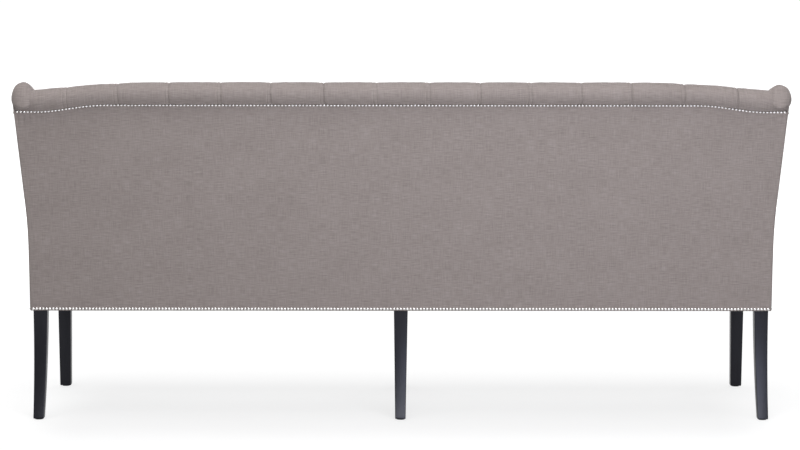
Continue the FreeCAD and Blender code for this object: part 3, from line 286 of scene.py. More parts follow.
def billow(outer, inner, step, pressure, cap):
    """Moves that blow a held cover out, from a cloth run on a coarser copy of its grid.

    The copy takes every step-th row and column of the outer grid, closed by the inner grid. Its
    rim and its inner side are held. The moves are capped, spread back over the full grid and
    smoothed, and fade to nothing at the rim.
    """
    rows, columns = (np.unique(np.append(np.arange(0, n, step), n - 1)) for n in outer.shape[:2])
    coarse = outer[np.ix_(rows, columns)]
    points, faces = shell(coarse, inner[np.ix_(rows, columns)])
    mesh = bpy.data.meshes.new("cloth_run")
    mesh.from_pydata(points.tolist(), [], [face.tolist() for block in faces for face in block])
    thing = bpy.data.objects.new("cloth_run", mesh)
    bpy.context.scene.collection.objects.link(thing)
    count = len(rows) * len(columns)
    number = np.arange(count).reshape(len(rows), len(columns))
    held = thing.vertex_groups.new(name="held")
    rim = np.concatenate([number[0], number[-1], number[:, 0], number[:, -1], np.arange(count, 2 * count)])
    held.add([int(i) for i in np.unique(rim)], 1.0, "REPLACE")
    cloth = thing.modifiers.new("cloth", "CLOTH")
    cloth.settings.quality = 6
    cloth.settings.mass = 0.25
    cloth.settings.tension_stiffness = 30
    cloth.settings.compression_stiffness = 12
    cloth.settings.bending_stiffness = 0.4
    cloth.settings.use_pressure = True
    cloth.settings.uniform_pressure_force = pressure
    cloth.settings.vertex_group_mass = "held"
    cloth.settings.effector_weights.gravity = 0
    first, last = 1, 20
    cloth.point_cache.frame_start = first
    cloth.point_cache.frame_end = last
    scene = bpy.context.scene
    for moment in range(first, last + 1):
        scene.frame_set(moment)
    settled = thing.evaluated_get(bpy.context.evaluated_depsgraph_get()).to_mesh()
    moved = np.empty(len(points) * 3)
    settled.vertices.foreach_get("co", moved)
    scene.frame_set(first)
    bpy.data.objects.remove(thing)
    bpy.data.meshes.remove(mesh)
    move = moved.reshape(-1, 3)[:count].reshape(coarse.shape) - coarse
    size, least = np.linalg.norm(move, axis=-1, keepdims=True), 1e-9
    move = move * np.minimum(1, cap / np.maximum(size, least))
    every_row, every_column = np.arange(outer.shape[0]), np.arange(outer.shape[1])
    tall = np.empty((len(every_row), len(columns), 3))
    wide = np.empty(outer.shape)
    for k in range(3):
        for j in range(len(columns)):
            tall[:, j, k] = np.interp(every_row, rows, move[:, j, k])
        for i in every_row:
            wide[i, :, k] = np.interp(every_column, columns, tall[i, :, k])
    for k in range(step + 1):
        wide[1:-1] = (wide[:-2] + 2 * wide[1:-1] + wide[2:]) / 4
        wide[:, 1:-1] = (wide[:, :-2] + 2 * wide[:, 1:-1] + wide[:, 2:]) / 4
    return wide


def ease(x, low, high):
    """Cubic step from 0 at low to 1 at high."""
    t = np.clip((x - low) / (high - low), 0, 1)
    return t * t * (3 - 2 * t)


def drift(a, b, seed, finest, octaves=5):
    """Smooth unevenness over two lengths in metres: a sum of plane waves, each octave twice as long
    as the one before, with seeded directions and phases. Its size stays within about one."""
    waves, spread = 3, 1.8
    dice = np.random.default_rng(seed)
    total = 0.0
    for k in range(octaves):
        length = finest * 2 ** k
        for turn, phase in zip(dice.uniform(0, math.pi, waves), dice.uniform(0, 2 * math.pi, waves)):
            along = a * math.cos(turn) + b * math.sin(turn)
            total = total + np.sin(2 * math.pi / length * along + phase)
    return total / (spread * math.sqrt(octaves * waves))


def quarter(share, size):
    """Fall along a quarter circle or ellipse: nothing at share 0, and its whole size at share 1."""
    return size * (1 - np.sqrt(1 - share ** 2))


def between(pair, share):
    """Value between the two of a pair, by a share of the way."""
    return pair[0] * (1 - share) + pair[1] * share


# Shape of the body
def on_back(x, u, v):
    """Points of the raked back: u rearward from its outer plane, v up its slope."""
    y = HEEL_Y + u * math.cos(RAKE) + v * math.sin(RAKE)
    z = HEM - u * math.sin(RAKE) + v * math.cos(RAKE)
    return np.stack(np.broadcast_arrays(x, y, z), -1)


def flank(v):
    """Half width of the body at a height up the back: upright, a parabolic blend, then a lean."""
    past = np.clip(v - KNUCKLE + BLEND, 0, None)
    bend = FLARE * past ** 2 / (4 * BLEND)
    return BODY_HALF + np.where(past < 2 * BLEND, bend, FLARE * (v - KNUCKLE))


def flank_at(z):
    """Half width of the body at a height above the floor."""
    return flank((z - HEM) / math.cos(RAKE))


def dip(x):
    """Fall of the top line towards each corner: a cubic step over the dip's length."""
    return DIP_DROP * ease(np.abs(x), DIP_OUT - DIP_LENGTH, DIP_OUT)


def crest(x):
    """Height of the roll's crest up the back: level, then falling with the square of the distance."""
    past = np.clip(np.abs(x) - CREST_START, 0, None) / CREST_RUN
    return PANEL + ROLL_RISE - CREST_FALL * past ** 2


def back_face(v):
    """Distance of the inside back's face in front of the outside back."""
    return PAD_THICK - PAD_LOSS * (v - PAD_FOOT) / (PANEL - PAD_FOOT)


def crowded(count, edge, share):
    """Numbers from -1 to 1 whose outer ones crowd within edge of each end; share of them lie there."""
    inner = int(count * (1 - share)) // 2 * 2 + 1
    outer = (count - inner) // 2
    middle = np.linspace(-1 + edge, 1 - edge, inner)
    rim = np.linspace(0, edge, outer, endpoint=False)
    return np.concatenate([-1 + rim, middle, (1 - rim)[::-1]])


# Materials
def shader(name, color, roughness, **sockets):
    """A plain principled material, its nodes and its links, ready for a pattern."""
    material = bpy.data.materials.new(name)
    material.use_nodes = True
    tree = material.node_tree
    surface = tree.nodes["Principled BSDF"]
    surface.inputs["Base Color"].default_value = (*color, 1)
    surface.inputs["Roughness"].default_value = roughness
    for label, value in sockets.items():
        surface.inputs[label.replace("_", " ")].default_value = value
    return material, tree, surface


def node(tree, kind, **values):
    """A node with its properties, and with its inputs where a value's name starts with in_."""
    made = tree.nodes.new(kind)
    for label, value in values.items():
        if label.startswith("in_"):
            made.inputs[label[3:].replace("_", " ")].default_value = value
        else:
            setattr(made, label, value)
    return made


def streaks(tree, place, scale, detail):
    """Noise drawn out along one thread direction of the given coordinates."""
    spread = node(tree, "ShaderNodeMapping", in_Scale=scale)
    noise = node(tree, "ShaderNodeTexNoise", in_Scale=1.0, in_Detail=detail, in_Roughness=0.55)
    tree.links.new(place, spread.inputs["Vector"])
    tree.links.new(spread.outputs["Vector"], noise.inputs["Vector"])
    return noise.outputs["Fac"]


def join(tree, operation, a, b, c=None):
    """Output of a maths node over sockets and plain numbers."""
    made = node(tree, "ShaderNodeMath", operation=operation)
    for socket, value in zip(made.inputs, (a, b, c)):
        if hasattr(value, "is_linked"):
            tree.links.new(value, socket)
        elif value is not None:
            socket.default_value = value
    return made.outputs[0]


def ramp(tree, fac, stops):
    """Colour of a factor between stops, each a place and its colour."""
    made = node(tree, "ShaderNodeValToRGB")
    tree.links.new(fac, made.inputs["Fac"])
    bar = made.color_ramp
    while len(bar.elements) < len(stops):
        bar.elements.new(0.5)
    for element, (place, color) in zip(bar.elements, stops):
        element.position = place
        element.color = (*color, 1)
    return made.outputs["Color"]


def bump(tree, surface, height, distance, strength):
    """Fine relief on a shader from a height of 0 to 1, which stands for a distance in metres."""
    made = node(tree, "ShaderNodeBump", in_Distance=distance, in_Strength=strength)
    tree.links.new(height, made.inputs["Height"])
    tree.links.new(made.outputs["Normal"], surface.inputs["Normal"])


def linen():
    """Warm grey slub linen: two fine thread waves, crosswise and lengthwise slubs, soft blotches."""
    material, tree, surface = shader("grey_linen", (0.26, 0.235, 0.225), 0.86, Specular_IOR_Level=0.22,
                                     Sheen_Weight=0.10, Sheen_Roughness=0.45)
    place = node(tree, "ShaderNodeUVMap", uv_map="weave").outputs["UV"]
    cross = streaks(tree, place, (34, 520, 1), 3)
    long = streaks(tree, place, (520, 26, 1), 3)
    blotch = streaks(tree, place, (7, 11, 1), 3)
    weft = node(tree, "ShaderNodeTexWave", bands_direction="Y", in_Scale=180, in_Distortion=1.2,
                in_Detail=2, in_Detail_Scale=3)
    warp = node(tree, "ShaderNodeTexWave", bands_direction="X", in_Scale=180, in_Distortion=1.2,
                in_Detail=2, in_Detail_Scale=3)
    for wave in (weft, warp):
        tree.links.new(place, wave.inputs["Vector"])
    cross_share, blotch_share, weave_share, slub_share = 0.62, 0.12, 0.10, 0.95
    weave = join(tree, "MULTIPLY", weft.outputs["Fac"], warp.outputs["Fac"])
    slub = join(tree, "MULTIPLY_ADD", cross, cross_share,
                join(tree, "MULTIPLY", long, 1 - cross_share))
    tone = join(tree, "MULTIPLY_ADD", blotch, blotch_share,
                join(tree, "MULTIPLY", slub, 1 - blotch_share))
    tone = join(tree, "MULTIPLY_ADD", weave, weave_share, join(tree, "MULTIPLY", tone, slub_share))
    color = ramp(tree, tone, ((0.34, (0.202, 0.171, 0.160)), (0.52, (0.274, 0.235, 0.221)),
                              (0.70, (0.354, 0.310, 0.293))))
    tree.links.new(color, surface.inputs["Base Color"])
    slub_high, weave_high = 0.6, 0.5
    height = join(tree, "MULTIPLY_ADD", slub, slub_high, join(tree, "MULTIPLY", weave, weave_high))
    bump(tree, surface, height, 0.0006, 0.55)
    return material


def nickel():
    """Polished nickel with faint clouding from handling."""
    material, tree, surface = shader("nickel_nails", (0.90, 0.88, 0.86), 0.36, Metallic=1.0)
    place = node(tree, "ShaderNodeTexCoord").outputs["Object"]
    cloud = streaks(tree, place, (60, 60, 60), 3)
    tree.links.new(ramp(tree, cloud, ((0.3, (0.86, 0.835, 0.82)), (0.7, (0.96, 0.94, 0.93)))),
                   surface.inputs["Base Color"])
    spread, smoothest = 0.12, 0.19
    tree.links.new(join(tree, "MULTIPLY_ADD", cloud, spread, smoothest), surface.inputs["Roughness"])
    return material


def stained_wood():
    """Black stained, lacquered hardwood: long grain along Z and a satin coat."""
    material, tree, surface = shader("black_stained_wood", (0.010, 0.0095, 0.0115), 0.30,
                                     Specular_IOR_Level=0.42, Specular_Tint=(0.87, 0.88, 1.0, 1))
    place = node(tree, "ShaderNodeTexCoord").outputs["Object"]
    grain = streaks(tree, place, (260, 260, 9), 6)
    pores = streaks(tree, place, (900, 900, 26), 4)
    tree.links.new(ramp(tree, grain, ((0.3, (0.002, 0.002, 0.003)), (0.75, (0.006, 0.0056, 0.0075)))),
                   surface.inputs["Base Color"])
    spread, smoothest = 0.22, 0.22
    tree.links.new(join(tree, "MULTIPLY_ADD", pores, spread, smoothest), surface.inputs["Roughness"])
    bump(tree, surface, join(tree, "ADD", grain, pores), 0.0004, 0.25)
    return material


def grained(name, dark, light, roughness, scale):
    """Raw material with a drawn-out grain, for what lies inside the bench."""
    material, tree, surface = shader(name, light, roughness)
    place = node(tree, "ShaderNodeTexCoord").outputs["Object"]
    grain = streaks(tree, place, scale, 5)
    tree.links.new(ramp(tree, grain, ((0.3, dark), (0.7, light))), surface.inputs["Base Color"])
    bump(tree, surface, grain, 0.0005, 0.3)
    return material


LINEN = linen()
NICKEL = nickel()
STAINED = stained_wood()
BEECH = grained("raw_beech", (0.36, 0.22, 0.12), (0.52, 0.36, 0.22), 0.6, (14, 220, 220))
PLY = grained("birch_ply", (0.42, 0.29, 0.17), (0.58, 0.43, 0.28), 0.6, (160, 14, 14))
ZINC = grained("zinc_plate", (0.42, 0.42, 0.44), (0.62, 0.62, 0.64), 0.35, (90, 90, 90))
NYLON = grained("black_nylon", (0.012, 0.012, 0.012), (0.03, 0.03, 0.03), 0.45, (400, 400, 400))
WEBBING = grained("jute_webbing", (0.14, 0.09, 0.05), (0.26, 0.18, 0.11), 0.9, (500, 300, 300))
FELT = grained("white_felt", (0.68, 0.66, 0.62), (0.80, 0.78, 0.74), 0.95, (120, 120, 120))
FOAM = grained("cream_foam", (0.66, 0.58, 0.36), (0.80, 0.73, 0.50), 0.9, (700, 700, 700))
DUST_CLOTH = grained("black_dust_cloth", (0.008, 0.008, 0.009), (0.022, 0.022, 0.024), 0.95,
                     (500, 500, 500))

SLOT_FINISH = {"leg_wood": STAINED, "frame_wood": BEECH, "board_wood": PLY, "bolt_steel": ZINC,
               "glide_plastic": NYLON, "webbing": WEBBING, "wadding": FELT, "foam": FOAM,
               "dust_cloth": DUST_CLOTH, "nail_metal": NICKEL, "upholstery": LINEN}
for part in frame["record"]["subparts"]:
    solid = frame["nodes"][part["node"]]
    solid.data.materials.clear()
    solid.data.materials.append(SLOT_FINISH[part["material_slot"]])


# Outside back
def outside_back():
    """Taut cover: height on the slope by share of the column, half width from the flank, and a depth
    that crowns in the middle, rounds off over the corner and puckers under the upper nails."""
    crown, pucker, pucker_pitch, pucker_drift = 0.0015, 0.0011, 0.017, 1.5
    pucker_down, pucker_in, top_reach, hem_reach = 0.06, 0.09, 0.018, 0.016
    tug_deep, tug_close, tug_long_share, wave_deep, nail_sink = 0.0005, 2.2, 0.3, 0.0007, 0.0012
    inner_wide_share, inner_tall_share, inner_foot = 0.9955, 0.994, 0.002
    across = crowded(560, edge=0.012, share=0.06)
    up = (crowded(72, edge=0.06, share=0.35) + 1) / 2
    p, t = np.meshgrid(across, up)
    top = PANEL - dip(p * TOP_HALF)
    v = t * top
    x = p * flank(v)
    inset, below = flank(v) - np.abs(x), top - v
    u = crown * np.sin(math.pi * t) ** 0.5 - quarter(np.clip(1 - inset / CORNER, 0, 1), CORNER)
    gather = np.exp(-below / pucker_down) * np.exp(-inset / pucker_in)
    phase = pucker_drift * drift(x, v, seed=3, finest=0.05)
    u = u + pucker * gather * np.sin(x * 2 * math.pi / pucker_pitch + phase)
    tug = np.exp(-below / top_reach) + np.exp(-v / hem_reach)
    u = u + tug_deep * tug * drift(x * tug_close, v * tug_long_share, seed=4, finest=0.020)
    u = u + wave_deep * drift(x, v, seed=5, finest=0.16, octaves=3)
    u = u - nail_sink * np.exp(-below / SINK_REACH) - HEM_SINK * np.exp(-v / SINK_REACH)
    outer = on_back(x, u, v)
    inner = on_back(x * inner_wide_share, -COVER_WALL, v * inner_tall_share + inner_foot)
    points, faces = shell(outer, inner)
    weave = np.concatenate([np.stack([x, v], -1).reshape(-1, 2)] * 2)
    cover = piece("outside_back_cover", points, faces, LINEN, "upholstery", weave)
    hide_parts("outside_back", "back_wadding")


# Buttoned inside back and pleated roll
def circle_through(a, b, c):
    """Centres and radii of the circles through three rows of points of a plane."""
    d = 2 * (a[0] * (b[1] - c[1]) + b[0] * (c[1] - a[1]) + c[0] * (a[1] - b[1]))
    squares = [q[0] ** 2 + q[1] ** 2 for q in (a, b, c)]
    x = (squares[0] * (b[1] - c[1]) + squares[1] * (c[1] - a[1]) + squares[2] * (a[1] - b[1])) / d
    y = (squares[0] * (c[0] - b[0]) + squares[1] * (a[0] - c[0]) + squares[2] * (b[0] - a[0])) / d
    return x, y, np.hypot(a[0] - x, a[1] - y)


def roll_profile(x):
    """Section of the back at each x, as rows of (u, v) and the height along the cover.

    From the nail line the cover tucks out under the roll, leans out straight, then a circular arc
    rises over the crest. A quarter ellipse turns down to the inside face, which falls straight to
    the seat.
    """
    line, top = PANEL - dip(x), crest(x)
    zero = np.zeros_like(x)
    overhang = ROLL_OVERHANG - ROLL_END_TUCK * ease(np.abs(x), *ROLL_END)
    cx, cy, radius = circle_through((zero, line), (zero + overhang, (line + top) / 2),
                                    (zero + ROLL_AXIS, top))
    stop = np.arctan2(top - cy, ROLL_AXIS - cx)
    lean_rows, arc_rows, front_rows, inside_rows = 8, 24, 32, 106
    angle = -UNDERCUT + (stop + UNDERCUT) * np.linspace(0, 1, arc_rows, endpoint=False)[:, None]
    arc = cx + radius * np.cos(angle), cy + radius * np.sin(angle)
    lip = line + LIP
    bulge = arc[0][0] - (arc[1][0] - lip) * math.tan(UNDERCUT)
    share = np.linspace(0, 1, lean_rows, endpoint=False)[:, None]
    slope = bulge + (arc[0][0] - bulge) * share, lip + (arc[1][0] - lip) * share
    tuck = (np.stack([zero, zero + TUCK_START] + [bulge * part for part in TUCK_SHARES]),
            np.stack([line] + [lip - drop for drop in TUCK_DROPS]))
    rear = [np.concatenate(rows) for rows in zip(tuck, slope, arc)]
    low = top - ROLL_FRONT
    face = -back_face(low)
    angle = np.linspace(0, math.pi / 2, front_rows, endpoint=False)[:, None]
    front = (ROLL_AXIS + (face - ROLL_AXIS) * np.sin(angle), low + ROLL_FRONT * np.cos(angle))
    fall = np.linspace(0, 1, inside_rows)[:, None]
    v = low + (PAD_FOOT - low) * fall
    inside = (-back_face(v), v)
    u = np.concatenate([rear[0], front[0], inside[0]])
    v = np.concatenate([rear[1], front[1], inside[1]])
    steps = np.hypot(np.diff(u, axis=0), np.diff(v, axis=0))
    along = np.concatenate([steps[::-1].cumsum(0)[::-1], zero[None]]) + PAD_FOOT
    return u, v, along


def button_places():
    """Buttons in three rows, the middle one half a pitch aside."""
    full = (np.arange(COLUMNS) - (COLUMNS - 1) / 2) * PITCH
    half = (full[1:] + full[:-1]) / 2
    return [(full, ROWS[0]), (half, ROWS[1]), (full, ROWS[2])]


def pleat_lines():
    """Straight pleats as pairs of ends: over the roll, between the buttons and down to the seat."""
    full, half = button_places()[0][0], button_places()[1][0]
    below_seat = PAD_FOOT - 0.1
    lines = []
    for x, over in zip(full, ROLL_PLEATS):
        lines.append(((x, ROWS[0]), (over, ROLL_PLEATS_FROM)))
        lines.append(((over, ROLL_PLEATS_FROM), (over, ROLL_PLEATS_TO)))
        lines.append(((x, ROWS[2]), (x, below_seat)))
    for x in half:
        for side in (-1, 1):
            for row in (ROWS[0], ROWS[2]):
                lines.append(((x, ROWS[1]), (x + side * PITCH / 2, row)))
    for side in (-1, 1):
        edge = full[-1] * side
        for row in (ROWS[0], ROWS[2]):
            lines.append(((edge, row), (edge + side * PITCH / 2, ROWS[1])))
    return lines


def distance_to(x, h, start, stop):
    """Distance from each point to one straight pleat between its two ends."""
    dx, dh = stop[0] - start[0], stop[1] - start[1]
    share = np.clip(((x - start[0]) * dx + (h - start[1]) * dh) / (dx * dx + dh * dh), 0, 1)
    return np.hypot(x - start[0] - share * dx, h - start[1] - share * dh)


def tuft_relief(x, h):
    """Rise of the cover over its smooth form: sharp and broad hollows along the pleats, pits with
    short rays at the buttons, and full diamonds between them; shallower over the roll, where each
    pleat has a fainter second line beside it."""
    pleat = np.full_like(x, 1.0)
    for start, stop in pleat_lines():
        pleat = np.minimum(pleat, distance_to(x, h, start, stop))
    button = np.full_like(x, 1.0)
    bearing = np.zeros_like(x)
    for places, level in button_places():
        for place in places:
            away = np.hypot(x - place, h - level)
            nearer = away < button
            button = np.where(nearer, away, button)
            bearing = np.where(nearer, np.arctan2(h - level, x - place), bearing)
    roll = ease(h, *ROLL_RELIEF)
    drawn = np.interp(x, ROLL_PLEATS, PLEAT_DEPTH_SHARES)
    deep = FOLD_DEEP[0] * (1 - roll) + FOLD_DEEP[1] * roll * drawn
    fold = deep * np.exp(-pleat / between(FOLD_WIDE, roll))
    hollow = between(HOLLOW_DEEP, roll) * np.exp(-(pleat / between(HOLLOW_WIDE, roll)) ** 2)
    full = between(FULL_HIGH, roll) * (1 - np.exp(-(pleat / FULL_WIDE) ** 2))
    pit = PIT_DEEP * np.exp(-(button / PIT_WIDE) ** 2)
    near = np.exp(-button / RAY_END) * (1 - np.exp(-button / RAY_START))
    rays = RAY_DEEP * np.sin(RAYS * bearing + RAY_TWIST * x) * near
    tucked = np.abs(x - ROLL_PLEATS[:, None, None] - PLEAT_WIDTH).min(0)
    tuck = TUCK_DEEP * roll * np.exp(-tucked / TUCK_WIDE)
    wave_high = 0.0005
    wave = wave_high * drift(x, h, seed=12, finest=0.03, octaves=4)
    return full - fold - hollow - pit - tuck + rays + wave


def roll_columns():
    """Even columns along the bench, with finer ones on both sides of each pleat of the roll."""
    beside = np.array(BESIDE_PLEAT_MM) / 1000
    even = np.linspace(-ROLL_HALF, ROLL_HALF, 400)
    apart = even[:, None] - ROLL_PLEATS
    even = even[((apart < BESIDE_ROOM[0]) | (apart > BESIDE_ROOM[1])).all(1)]
    return np.sort(np.concatenate([even, (ROLL_PLEATS[:, None] + beside).ravel()]))


def buttoned_back():
    """Cover from the outside nail line over the roll and down the inside back: the roll's section
    carried along the bench, raised along its own normals by the tuft relief, closed underneath.
    Its columns wander a little, lean inwards by a cubic step just above the nails, and follow the
    flank at the ends."""
    x = roll_columns()
    u, v, along = roll_profile(x)
    x = np.broadcast_to(x, u.shape)
    du, dv = np.gradient(u, axis=0), np.gradient(v, axis=0)
    size = np.hypot(du, dv)
    relief = tuft_relief(x, along)
    line = along[0] - along
    nailed_share, nailed_reach, end_drop, end_from = 0.75, 0.010, 0.0025, 1.045
    relief = relief * (1 - nailed_share * np.exp(-line / nailed_reach))
    gather_deep, gather_start, gather_reach = 0.0009, 0.004, 0.022
    pucker_close, pucker_long_share = 3, 0.4
    gather = np.exp(-line / gather_reach) * (1 - np.exp(-line / gather_start))
    pucker = drift(x * pucker_close, line * pucker_long_share, seed=13, finest=0.022, octaves=3)
    relief = relief + gather_deep * gather * pucker
    relief = relief - end_drop * ease(np.abs(x), end_from, ROLL_HALF)
    u = u + relief * dv / size
    v = v - relief * du / size
    lean_line, lean_ends, wander = (0.001, 0.024), (0.98, 1.05), 0.0012
    lean = PLEAT_LEAN * np.sign(x) * (1 - ease(line, *lean_line)) * (1 - ease(np.abs(x), *lean_ends))
    aside = lean + wander * drift(along, x * 0, seed=11, finest=0.05, octaves=3)
    last, core_rise = u.shape[0] - 1, 0.0005
    foot, top = v[last], PANEL - dip(x[0]) + core_rise
    core = np.full_like(foot, -PAD_CORE)
    under = [((u[last] + core) / 2, foot), (core, foot), (core, (foot + top) / 2), (core, top),
             (core / 2, top)]
    u = np.concatenate([u] + [row[0][None] for row in under])
    v = np.concatenate([v] + [row[1][None] for row in under])
    x = np.broadcast_to(x[0], u.shape)
    aside = np.concatenate([aside, np.zeros((len(under), aside.shape[1]))])
    flank_share, from_x, from_v, to_v = 0.86, 1.0, 0.50, 0.57
    reach = flank_share * np.sign(x) * (flank(v) - BODY_HALF)
    reach = reach * ease(np.abs(x), from_x, ROLL_HALF) * ease(v, from_v, to_v)
    rings = np.transpose(on_back(x + reach - aside, u, v), (1, 0, 2))
    points, faces = tube(rings)
    points[-2:, 0] = x[0, 0], x[0, -1]
    level = np.concatenate([along, np.broadcast_to(along[-1:], (len(under), u.shape[1]))])
    weave = np.stack([x, level], -1).transpose(1, 0, 2).reshape(-1, 2)
    weave = np.concatenate([weave, weave[:1], weave[-1:]])
    cover = piece("buttoned_back_cover", points, faces, LINEN, "upholstery", weave)
    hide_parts("top_roll", "tufted_back", "back_foam")


def buttons():
    """Covered buttons: a dome of elliptical profile on each tuft, sunk under the cover at its rim."""
    turn = np.linspace(0, 2 * math.pi, 20, endpoint=False)
    away = BUTTON_RADIUS * np.array(BUTTON_WIDTH_SHARES)[:, None]
    a, b = away * np.cos(turn), away * np.sin(turn)
    out = BUTTON_SEAT + BUTTON_RISE * np.array(BUTTON_RISE_SHARES)[:, None] + 0 * a
    places = [(x, h) for row, h in button_places() for x in row]
    tilt = math.atan(PAD_LOSS / (PANEL - PAD_FOOT))
    rings, weave = [], []
    for x, h in places:
        u = -back_face(h) - out * math.cos(tilt) + b * math.sin(tilt)
        v = h - out * math.sin(tilt) + b * math.cos(tilt)
        rings.append(on_back(x + a, u, v))
        weave.append(np.stack([x + a, h + b], -1))
    parts = [tube(ring) for ring in rings]
    count = len(parts[0][0])
    points = np.concatenate([p for p, f in parts])
    faces = [np.concatenate([f[k] + count * i for i, (p, f) in enumerate(parts)]) for k in range(3)]
    weave = np.concatenate([np.concatenate([w.reshape(-1, 2), w[0, :1], w[-1, :1]]) for w in weave])
    made = piece("back_button_covers", points, faces, LINEN, "upholstery", weave)
    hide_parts("back_buttons")


# Wings
KNOB_Z = KNOB_CREST - KNOB_TALL
KNOB_Y = HEEL_Y + (KNOB_Z - HEM) * math.tan(RAKE) + ROLL_AXIS * math.cos(RAKE)


def wing_line(count):
    """Centre line of the wing's edge roll in the wing's plane: a straight run, an arc that turns
    down, a straight fall and an arc that turns forward. Rows of forward, up, angle, share of the
    way and length."""
    a, b, c = WING_ANGLES
    fall = (KNOB_Z - WING_TOE) / math.cos(LEAN)
    drops = (WING_RUN * math.sin(a), SHOULDER_RADIUS * (math.cos(a) - math.cos(b)),
             TOE_RADIUS * (math.cos(c) - math.cos(b)))
    straight = (fall - sum(drops)) / math.sin(b)
    lengths = np.array([WING_RUN, SHOULDER_RADIUS * (b - a), straight, TOE_RADIUS * (b - c)])
    ends = lengths.cumsum()
    s = np.linspace(0, ends[-1], count)
    angle = np.interp(s, [0, ends[0], ends[1], ends[2], ends[3]], [a, a, b, b, c])
    middle = (angle[1:] + angle[:-1]) / 2
    step = np.diff(s)
    forward = np.concatenate([[0], (np.cos(middle) * step).cumsum()])
    up = np.concatenate([[0], -(np.sin(middle) * step).cumsum()])
    return forward, up, angle, s / ends[-1], s


def on_wing(forward, up, out, side):
    """Points of the leaning wing: forward and up in its plane, out square to it."""
    z = KNOB_Z + up * math.cos(LEAN) - out * math.sin(LEAN)
    x = flank_at(KNOB_Z) + up * math.sin(LEAN) + out * math.cos(LEAN)
    return np.stack(np.broadcast_arrays(side * x, KNOB_Y - forward, z), -1)


def wing_edge_roll(word, side):
    """Edge roll: an oval carried along the wing's line, narrowing to the toe. The rear knob and the
    toe close as half ellipsoids. The knob is egg-shaped: its upper half is taller than its lower
    half."""
    fold_high, radius, cloth_radius, near_middle = 0.0006, 0.03, 0.033, 0.001
    forward, up, angle, share, s = wing_line(110)
    back = np.linspace(NEAR_POLE, near_middle, 26)
    front = np.linspace(0, NEAR_POLE, 14)[1:]
    toe = TOE_TALL * TOE_DEPTH_SHARE * np.sin(front)
    ahead = np.concatenate([forward[0] - KNOB_DEEP * np.sin(back), forward,
                            forward[-1] + toe * math.cos(angle[-1])])
    high = np.concatenate([up[0] - KNOB_DROP * (1 - np.cos(back)), up,
                           up[-1] - toe * math.sin(angle[-1])])
    slope = np.concatenate([angle[0] * np.cos(back), angle, angle[-1] + 0 * front])
    swell = np.concatenate([np.cos(back), 1 + 0 * share, np.cos(front)])
    length = np.concatenate([s[0] - KNOB_DEEP * np.sin(back), s, s[-1] + TOE_TALL * np.sin(front)])
    egg = np.concatenate([1 + 0 * back, 1 - ease(share, 0.0, KNOB_END_SHARE), 0 * front])
    share = np.concatenate([0 * back, share, 1 + 0 * front])
    wide = KNOB_WIDE + (TOE_WIDE - KNOB_WIDE) * share
    tall = KNOB_TALL + (TOE_TALL - KNOB_TALL) * share
    proud = PROUD * (1 - share)
    turn = np.linspace(0, 2 * math.pi, 72, endpoint=False)
    c, sn = np.cos(turn), np.sin(turn)
    across = c * (wide * swell)[:, None]
    stretch = egg[:, None] * KNOB_SINK / KNOB_TALL * np.where(sn < 0, KNOB_LOWER_SHARE, 1)
    level = sn * (tall * swell)[:, None] * (1 + stretch)
    high = high - egg * KNOB_SINK
    folds = fold_high * drift(length[:, None], turn * radius, seed=21, finest=0.018, octaves=4)
    grow = 1 + folds / radius
    across, level = across * grow, level * grow
    rings = on_wing(ahead[:, None] + level * np.sin(slope)[:, None],
                    high[:, None] + level * np.cos(slope)[:, None],
                    (proud - wide)[:, None] + across, side)
    above, outside = KNOB_UNEVEN[side]
    lifted = above * np.clip(sn, 0, None)
    rings = rings + egg[:, None, None] * np.stack([0 * sn + side * outside, 0 * sn, lifted], -1)
    points, faces = tube(rings)
    weave = np.stack(np.broadcast_arrays(turn * cloth_radius, length[:, None]), -1)
    flat = len(back)
    weave[:flat] = rings[:flat, :, ::2]
    weave = np.concatenate([weave.reshape(-1, 2), weave[0].mean(0)[None], weave[-1, :1]])
    made = piece("wing_edge_" + word, points, faces, LINEN, "upholstery", weave)
    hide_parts("wing_roll_" + word)


def wing_front(z):
    """Depth of the edge roll's centre line at a height: interpolated along the wing's line."""
    forward, up = wing_line(200)[:2]
    heights = KNOB_Z + up * math.cos(LEAN)
    return np.interp(z, heights[::-1], (KNOB_Y - forward)[::-1])


def rear_plane(z, inset=0.0):
    """Depth of the back's outer plane at a height, or of a plane set in from it."""
    return HEEL_Y - inset / math.cos(RAKE) + (z - HEM) * math.tan(RAKE)


def outer_wing(word, side):
    """Outer face of the wing: rows by height, columns from the edge roll back to the corner. It
    crowns with a sine, rounds off over the corner and draws in at the hem."""
    inset, crown, full_room, least_room, wave_high = 0.0005, 0.0016, 0.1, 0.01, 0.0006
    inner_start_share, inner_share, inner_tall_share, inner_foot = 0.02, 0.95, 0.996, 0.0016
    back = (crowded(70, edge=0.1, share=0.3) + 1) / 2
    t, q = np.meshgrid(np.linspace(0, 1, 110), back, indexing="ij")
    z = HEM + (OUTER_TOP - HEM) * t
    near, far = wing_front(z), rear_plane(z, inset)
    y = near + (far - near) * q
    room = np.clip(far - near, least_room, None)
    turn = np.clip(1 - (far - y) / CORNER, 0, 1)
    out = crown * np.sin(math.pi * q) * np.minimum(room / full_room, 1) - quarter(turn, CORNER)
    out = out + wave_high * drift(y, z, seed=31, finest=0.12, octaves=3)
    out = out - HEM_SINK * np.exp(-(z - HEM) / SINK_REACH)
    outer = np.stack([side * (flank_at(z) + out), y, z], -1)
    weave = np.concatenate([np.stack([y, z], -1).reshape(-1, 2)] * 2)
    x, y = flank_at(z) - COVER_WALL, near + (far - near) * (inner_start_share + inner_share * q)
    inner = np.stack([side * x, y, z * inner_tall_share + inner_foot], -1)
    points, faces = shell(outer, inner)
    made = piece("outer_wing_cover_" + word, points, faces, LINEN, "upholstery", weave)
    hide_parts("outside_wing_" + word, "wing_wadding_" + word)


